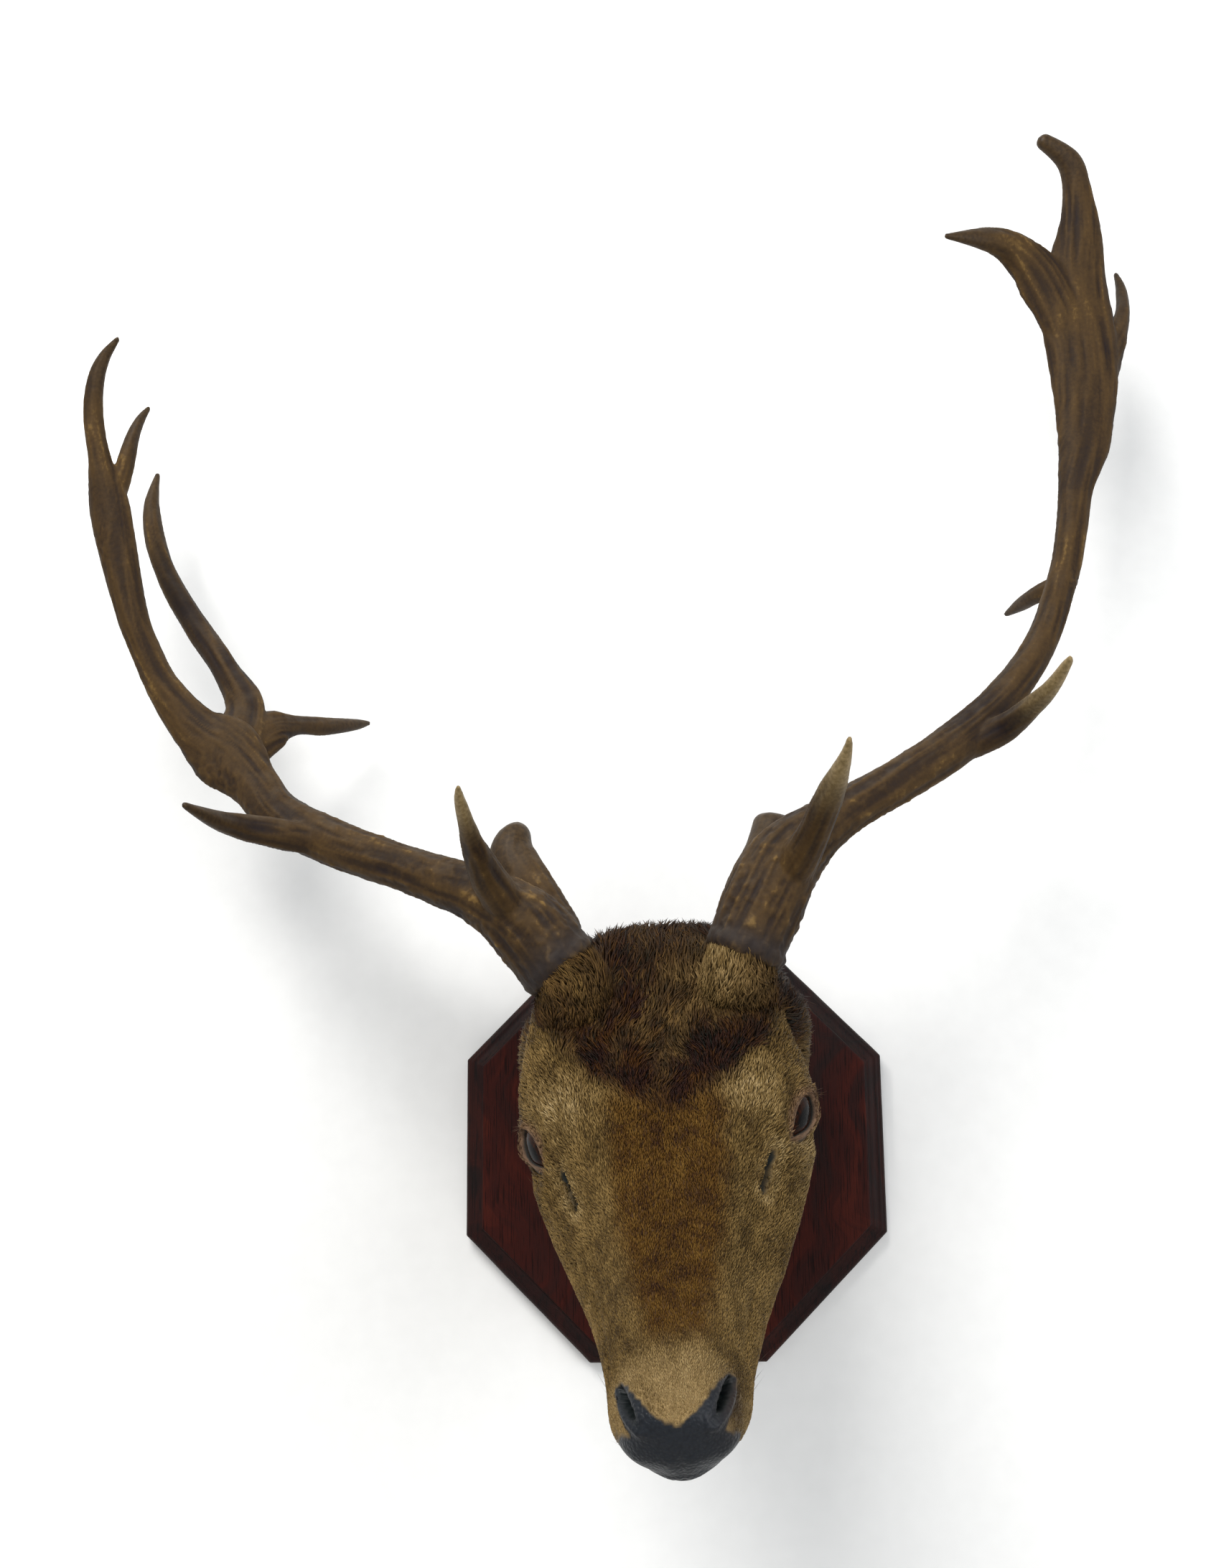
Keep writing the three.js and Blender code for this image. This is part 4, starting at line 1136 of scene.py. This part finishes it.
LEFT_TINES = {
    "brow_tine": [[-98, -206, 140, 13, 13], [-114, -232, 163.5, 12.5, 10.5],
                  [-119.8, -268, 180, 6.2, 6.2], [-122.6, -300, 196, 3.8, 3.8],
                  [-122, -314, 203, 1.4, 1.4]],
    "stub": [[-70, -197, 120, 20, 16], [-87, -186, 154, 17, 14], [-102, -176, 183, 16, 12],
             [-101, -170, 202, 9.8, 9.5], [-101.5, -168, 207.5, 5, 5]],
    "trez_tine": [[-234, -158, 200, 10.5, 8.5], [-260, -168, 203.5, 10, 8.5],
                  [-281, -182, 206, 8.2, 7.5], [-294.5, -204, 207.6, 6, 5.5], [-308, -228, 212.5, 2, 2]],
    "rear_tine": [[-302, -124, 274, 20, 8], [-299, -108, 306, 14, 7.5], [-317.3, -94, 338, 10, 7.5],
                  [-347, -78, 380, 8.8, 7.5], [-369.5, -65, 417, 8, 7], [-384, -55, 450, 7.5, 6.5],
                  [-390.5, -48, 482, 5.8, 5.6], [-388.5, -42, 511, 2, 2]],
    "thorn": [[-303, -123, 266, 18, 8], [-281, -107, 289, 15.5, 7], [-268, -92, 296, 7.6, 6.2],
              [-249, -62, 302.5, 6.4, 5.6], [-232, -40, 309, 4.4, 4.2], [-222.5, -30, 312.5, 1.5, 1.5]],
    "second_tip": [[-388, -150, 438, 6.5, 6.5], [-381.5, -147, 471, 6.6, 6.2],
                   [-377.5, -145, 495, 5, 5], [-373, -142, 511, 3.7, 3.7], [-367, -140, 522, 1.6, 1.6]],
}
RIGHT_RUN = [
    [47, -208, 118, 24, 23], [59, -209, 147, 26, 21], [76, -205, 177, 23, 18],
    [108.5, -198, 203, 15.6, 15], [156, -184, 232, 14.4, 14], [196.8, -172, 261, 14.8, 13],
    [231.5, -162, 296.5, 12, 12], [256, -152, 333.5, 10.6, 10.5], [274.5, -142, 380.5, 10.1, 9.5],
    [283.3, -136, 416, 10.6, 9], [289.2, -131, 447, 12.2, 8.5], [298, -126, 481, 18, 8.5],
    [302.5, -121, 516, 22, 8.5], [304, -117, 551, 25, 8.5], [302.5, -115, 586, 26, 8.5],
    [304, -114, 620, 21.5, 9], [307.8, -116, 650, 16, 9], [307.6, -120, 682, 10.2, 8.5],
    [301, -126, 703.4, 9, 7.5], [279, -132, 719, 5.6, 5],
]
RIGHT_TINES = {
    "brow_tine": [[72, -206, 160, 15, 14], [86, -232, 180, 12, 11], [97.2, -266, 203, 9.2, 8.5],
                  [104.4, -298, 220, 4, 4], [106, -313, 228, 1.6, 1.6]],
    "stub": [[45, -204, 128, 20, 16], [52.5, -195, 158, 16.5, 15], [64, -184, 184, 15, 13],
             [70, -177, 204.5, 14.5, 11], [71, -176, 209.5, 12, 8]],
    "trez_tine": [[181, -176, 247, 7.5, 7.5], [199, -173, 254.2, 9.3, 9], [217, -180, 261.5, 9.5, 9],
                  [227, -192, 266.5, 8.2, 8.2], [241.3, -224, 277, 5.8, 5.8],
                  [247.6, -248, 286, 3.5, 3.5], [249, -258, 289, 1.6, 1.6]],
    "inner_thorn": [[276, -142, 374, 8.5, 8], [260, -122, 373, 6.2, 6], [251, -104, 371, 4.8, 4.6],
                    [242.5, -90, 368, 1.8, 1.8]],
    "inner_tine": [[301, -116, 558, 15, 7], [281.8, -118, 606, 19.5, 8], [262.5, -124, 629, 15.2, 7.5],
                   [240, -136, 635.6, 10, 6.5], [202.5, -156, 629.5, 1.8, 1.8]],
    "back_tine": [[312, -116, 536, 16, 6.5], [327, -110, 566, 10.5, 6], [339.5, -98, 593, 5.6, 5.5],
                  [343, -88, 618, 4.2, 4], [341, -82, 636, 1.8, 1.8]],
}
LEFT_LENGTHS = ("base", "lower_beam", "palm", "upper_beam", "main_tip")
RIGHT_LENGTHS = ("base", "lower_beam", "middle_beam", "palm", "top_tine")
LIMB_STEP = 2.2
LIMB_SIDES = 26
BURR_RADIUS = 25.8
BURR_SIDES, BURR_ROWS = 120, 15
BONE_CELL = 1.35
POINTS_AT_ONCE = 8000
FURROW_LEVEL, FURROW_DEEP, BEAD_HIGH = 0.35, 0.6, 0.65


def limb_line(rows, deep, foot=0):
    """Middles, half sizes and directions every few millimetres along a limb of antler."""
    rows = np.asarray(rows, float)
    count = int(np.linalg.norm(np.diff(rows[:, :3], axis=0), axis=1).sum() / LIMB_STEP)
    line = rows_at(rows, np.linspace(0, len(rows) - 1, count))
    ahead = unit(np.gradient(line[:, :3], axis=0))
    depth = unit(deep - ahead * (ahead @ deep)[:, None])
    along = np.concatenate([[0], np.cumsum(np.linalg.norm(np.diff(line[:, :3], axis=0), axis=1))])
    return {"middle": line[:, :3], "wide": line[:, 3], "thick": line[:, 4], "ahead": ahead,
            "depth": depth, "width": np.cross(ahead, depth), "along": along, "foot": foot}


def limb_shell(line):
    """The closed mesh of one limb, with rounded ends."""
    turn = full_turn(LIMB_SIDES)
    ends = np.minimum(line["along"] + line["foot"], line["along"][-1] - line["along"])
    full = np.sqrt(np.clip(1 - (1 - np.clip(ends / line["thick"] / 0.8, 0, 1))**2, 0.05, 1))
    shell = (line["middle"][:, None]
             + (line["wide"] * full)[:, None, None] * np.cos(turn)[:, None] * line["width"][:, None]
             + (line["thick"] * full)[:, None, None] * np.sin(turn)[:, None] * line["depth"][:, None])
    places = np.concatenate([shell.reshape(-1, 3), line["middle"][[0, -1]]])
    return places, *closed_faces(len(shell), LIMB_SIDES)


def burr_shell(foot, axis, seed):
    """The crown of beads round the antler's foot."""
    profile = np.linspace(-1, 1, BURR_ROWS)
    sideways = unit(np.cross(axis, [0, 1, 0]))
    forwards = np.cross(axis, sideways)
    circle = circle_of(BURR_SIDES, sideways, forwards)
    bulge = 0.80 + 0.20 * np.sqrt(1 - np.clip(np.abs(profile), 0, 0.98)**2)
    ring = np.broadcast_to(circle, (BURR_ROWS, BURR_SIDES, 3))
    beads = value_noise(ring * 29 + axis * (profile * 5)[:, None, None], 5.0, seed)
    radius = BURR_RADIUS * bulge[:, None] - 0.4 + 0.9 * beads
    shell = foot + ring * radius[..., None] + axis * (profile * BURR_HALF)[:, None, None]
    places = np.concatenate([shell.reshape(-1, 3), [foot - axis * BURR_HALF, foot + axis * BURR_HALF]])
    return places, *closed_faces(BURR_ROWS, BURR_SIDES)


def fused(shells, cell):
    """Overlapping closed meshes grown together: places, outward directions and square faces."""
    mesh = bpy.data.meshes.new("growing")
    places, faces, first = [], [], 0
    for points, squares, triangles in shells:
        places += points.tolist()
        faces += (squares + first).tolist() + (triangles + first).tolist()
        first += len(points)
    mesh.from_pydata(places, [], faces)
    holder = placed("growing", mesh)
    remesh = holder.modifiers.new("fuse", "REMESH")
    remesh.mode = "VOXEL"
    remesh.voxel_size = cell
    even = holder.modifiers.new("even", "SMOOTH")
    even.iterations = 3
    even.factor = 0.5
    grown = holder.evaluated_get(bpy.context.evaluated_depsgraph_get()).to_mesh()
    found = []
    for items, key, width, kind in ((grown.vertices, "co", 3, np.float32),
                                    (grown.vertices, "normal", 3, np.float32),
                                    (grown.loops, "vertex_index", 1, np.int32)):
        found.append(np.empty(len(items) * width, kind))
        items.foreach_get(key, found[-1])
    bpy.data.objects.remove(holder)
    bpy.data.meshes.remove(mesh)
    points, outward, corners = found
    return (points.reshape(-1, 3).astype(float), outward.reshape(-1, 3).astype(float),
            corners.reshape(-1, 4))


def bone_relief(points, lines, foot, burr_axis):
    """Furrows along each limb, beads near the burr, smoother tips and painted shade at the antler's foot.
    """
    furrow, total, tip, beam = (np.zeros(len(points)) for _ in range(4))
    for number, line in enumerate(lines):
        nearest = np.concatenate([
            ((part[:, None] - line["middle"])**2).sum(-1).argmin(1)
            for part in np.array_split(points, len(points) // POINTS_AT_ONCE + 1)])
        offset = points - line["middle"][nearest]
        across = (offset * line["width"][nearest]).sum(-1)
        deep = (offset * line["depth"][nearest]).sum(-1)
        size = np.hypot(across / line["wide"][nearest], deep / line["thick"][nearest])
        weight = np.exp(-6 * np.clip(size - 1, -0.6, 3))
        along = line["along"][nearest]
        left = line["along"][-1] - along
        bend = 0.22 * np.sin(along / 37 + number) * line["thick"][nearest]
        there = np.stack([across + bend, deep, along * 0.085], -1)
        own = 1 - np.abs(value_noise(there, 4.4, number)) * 2
        own = own + 0.5 * (1 - np.abs(value_noise(there, 2.3, number + 9)) * 2)
        furrow += weight * own
        tip += weight * (1 - smooth(4, 58, left))
        beam += weight * (1 - smooth(20, 330, along)) * (number == 0)
        total += weight
    furrow, tip, beam = furrow / total, tip / total, beam / total
    near_burr = bell(np.linalg.norm(points - foot, axis=-1), 75)
    beads = value_noise(points, 4.2, 21) + 0.6 * value_noise(points, 2.4, 22)
    beading = np.clip(0.22 + 0.75 * beam + 0.5 * near_burr, 0, 1.3)
    # painted shade: strongest just above the burr, where the head shades the antler's foot
    burr_shade = bell((points - foot) @ burr_axis - 2, 12)
    return furrow * (1 - 0.75 * tip), np.maximum(beads, -0.2) * beading * (1 - tip), tip, burr_shade


horn, tree, shader = finish_base("antler_bone", IOR=1.5, Specular_IOR_Level=0.2)
spot = put(tree, "TexCoord").outputs["Object"]
furrow, bead, tip, ivory, burr_shade = (
    mesh_mark(tree, name) for name in ("furrow", "bead", "tip", "ivory", "burr_shade"))
stains = noise(tree, spot, 14.0, 5.0)
specks = noise(tree, spot, 420.0, 3.0)
height = 0.27
for layer, weight in ((furrow, 0.2), (bead, 0.14), (specks, 0.25), (stains, 0.55)):
    height = maths(tree, "MULTIPLY_ADD", layer, weight, height)
bark = ramp(tree, maths(tree, "SUBTRACT", height, 0.3), (0.1, srgb(22, 14, 6)), (0.4, srgb(46, 31, 14)),
            (0.65, srgb(72, 52, 24)), (0.92, srgb(140, 109, 58)))
dark_tip = ramp(tree, specks, (0.3, srgb(48, 36, 21)), (0.7, srgb(80, 62, 38)))
pale_tip = ramp(tree, specks, (0.3, srgb(112, 94, 60)), (0.7, srgb(152, 131, 92)))
# painted shade at the antler's foot: dark grey-blue round the burr
bark = blend(tree, maths(tree, "MULTIPLY", burr_shade, 0.8), bark, srgb(38, 32, 31))
colour = blend(tree, maths(tree, "MULTIPLY", tip, 0.6), bark, dark_tip)
colour = dusted(tree, blend(tree, ivory, colour, pale_tip), 0.15, 40.0)
rough = maths(tree, "MULTIPLY_ADD", stains, 0.2, moved(tree, tip, end=(0.58, 0.34)))
dress(tree, shader, colour, rough, specks, 0.35, 0.0005)

# how far back from its end each rubbed tine is pale
IVORY = {-1: {"brow_tine": 34}, 1: {"brow_tine": 44, "trez_tine": 50}}
BOTH = ((-1, "left", LEFT_RUN, LEFT_TINES, LEFT_LENGTHS),
        (1, "right", RIGHT_RUN, RIGHT_TINES, RIGHT_LENGTHS))
for hand, word, run, tines, lengths in BOTH:
    foot = np.array(run[0][:3], float)
    axis = unit(np.array(run[1][:3]) - foot)
    lines = [limb_line(run, TO_WALL, foot=100)]
    for name, rows in tines.items():
        lines.append(limb_line(rows, SIDEWAYS if name == "brow_tine" else TO_WALL))
    shells = [limb_shell(line) for line in lines] + [burr_shell(foot, axis, 31 + hand)]
    points, outward, corners = fused(shells, BONE_CELL)
    furrow, bead, tip, burr_shade = bone_relief(points, lines, foot, axis)
    ivory = np.zeros(len(points))
    for name, run_back in IVORY[hand].items():
        point = np.array(tines[name][-1][:3])
        away = np.linalg.norm(points - point, axis=-1) + 5 * value_noise(points, 12, 40)
        ivory = np.maximum(ivory, 0.95 - 0.95 * smooth(run_back * 0.2, run_back * 1.6, away))
    relief = FURROW_DEEP * (furrow - FURROW_LEVEL) + BEAD_HIGH * bead
    points = points + outward * relief[:, None]
    names = [f"antler_{word}_{name}" for name in ("burr", *lengths, *tines)]
    make_piece(f"antler_{word}", points * MM, [corners], horn, names,
               marks={"furrow": furrow, "bead": bead, "tip": tip, "ivory": ivory, "burr_shade": burr_shade})

# ------------------------------------------------------------------ the room
# A plain white wall with a pale floor far below. Soft light comes from high on the left, as
# from a large window, with a weak fill from the right.


def plain_sheet(name, corners, faces, colour, roughness):
    """A painted sheet of the room, which is not part of the mount."""
    mesh = bpy.data.meshes.new(name)
    mesh.from_pydata(corners, [], faces)
    paint, tree, shader = finish_base(name, Roughness=roughness)
    grain = noise(tree, put(tree, "TexCoord").outputs["Object"], 60.0, 4.0)
    shades = ramp(tree, grain, (0.3, srgb(*(colour - 3))), (0.7, srgb(*colour)))
    tree.links.new(shades, shader.inputs["Base Color"])
    mesh.materials.append(paint)
    placed(name, mesh)
    return tree, shader


# the wall is open behind the shield, so that light reaches the back of the wood
FLOOR_Z = -1.6
WALL_GAP = 0.0005
OPENING_INSET = 3
opening = [(x * MM, WALL_GAP, z * MM) for x, z in octagon(OPENING_INSET)[::SIDE_CUTS]]
outer = [(x, WALL_GAP, z) for x, z in (
    (4, 1), (1.5, 2.6), (-1.5, 2.6), (-4, 1), (-4, -0.6), (-1.5, FLOOR_Z), (1.5, FLOOR_Z), (4, -0.6))]
wall_corners = [(x, WALL_GAP, z) for x, z in ((4, 2.6), (-4, 2.6), (-4, FLOOR_Z), (4, FLOOR_Z))]
wall_faces = [(k, 8 + k, 8 + (k + 1) % 8, (k + 1) % 8) for k in range(8)]
wall_faces += [(9 + 2 * k, 8 + 2 * k, 16 + k) for k in range(4)]
tree, shader = plain_sheet("wall", opening + outer + wall_corners, wall_faces,
                           np.array([244, 244, 243]), 0.9)
behind = put(tree, "NewGeometry").outputs["Backfacing"]
clear = put(tree, "BsdfTransparent").outputs[0]
choice = put(tree, "MixShader", {0: behind, 1: shader.outputs[0], 2: clear})
tree.links.new(choice.outputs[0], tree.nodes["Material Output"].inputs["Surface"])
plain_sheet("floor", [(-5, -6, FLOOR_Z), (5, -6, FLOOR_Z), (5, 4, FLOOR_Z), (-5, 4, FLOOR_Z)],
            [(0, 1, 2, 3)], np.array([214, 211, 206]), 0.8)


def soft_light(name, place, target, size, watts, colour):
    lamp = bpy.data.lights.new(name, "AREA")
    lamp.shape = "RECTANGLE"
    lamp.size, lamp.size_y = size
    lamp.energy = watts
    lamp.color = colour
    holder = placed(name, lamp)
    holder.location = place
    holder.rotation_euler = (Vector(target) - Vector(place)).to_track_quat("-Z", "Y").to_euler()


soft_light("window", (-0.9, -2.3, 1.9), (0, -0.1, 0.15), (1.5, 1.3), 74, (1.0, 0.98, 0.95))
soft_light("fill", (1.9, -2.4, 0.4), (0, -0.1, 0.1), (1.8, 1.6), 30, (0.97, 0.98, 1.0))
world = bpy.data.worlds.new("room_air")
world.use_nodes = True
world.node_tree.nodes["Background"].inputs["Color"].default_value = (0.82, 0.86, 0.9, 1)
world.node_tree.nodes["Background"].inputs["Strength"].default_value = 0.62
bpy.context.scene.world = world
bpy.context.scene.view_settings.view_transform = "Standard"

# ------------------------------------------------------------------ the camera
# A lens of moderate length, a little over a metre in front of the shield. It stands below the
# antlers and looks slightly up.

CAMERA_PLACE = (0, -1.331, -0.014)
CAMERA_PITCH, CAMERA_YAW, CAMERA_LEAN = (math.radians(a) for a in (12, -2, -1))
lens = bpy.data.cameras.new("viewer")
lens.lens = 41.21
lens.sensor_width = 36
camera = placed("viewer", lens)
stand = Matrix.Translation(CAMERA_PLACE)
for angle, axis in ((math.pi / 2 + CAMERA_PITCH, "X"), (-CAMERA_YAW, "Y"), (CAMERA_LEAN, "Z")):
    stand = stand @ Matrix.Rotation(angle, 4, axis)
camera.matrix_world = stand
bpy.context.scene.camera = camera

bpy.context.view_layer.update()
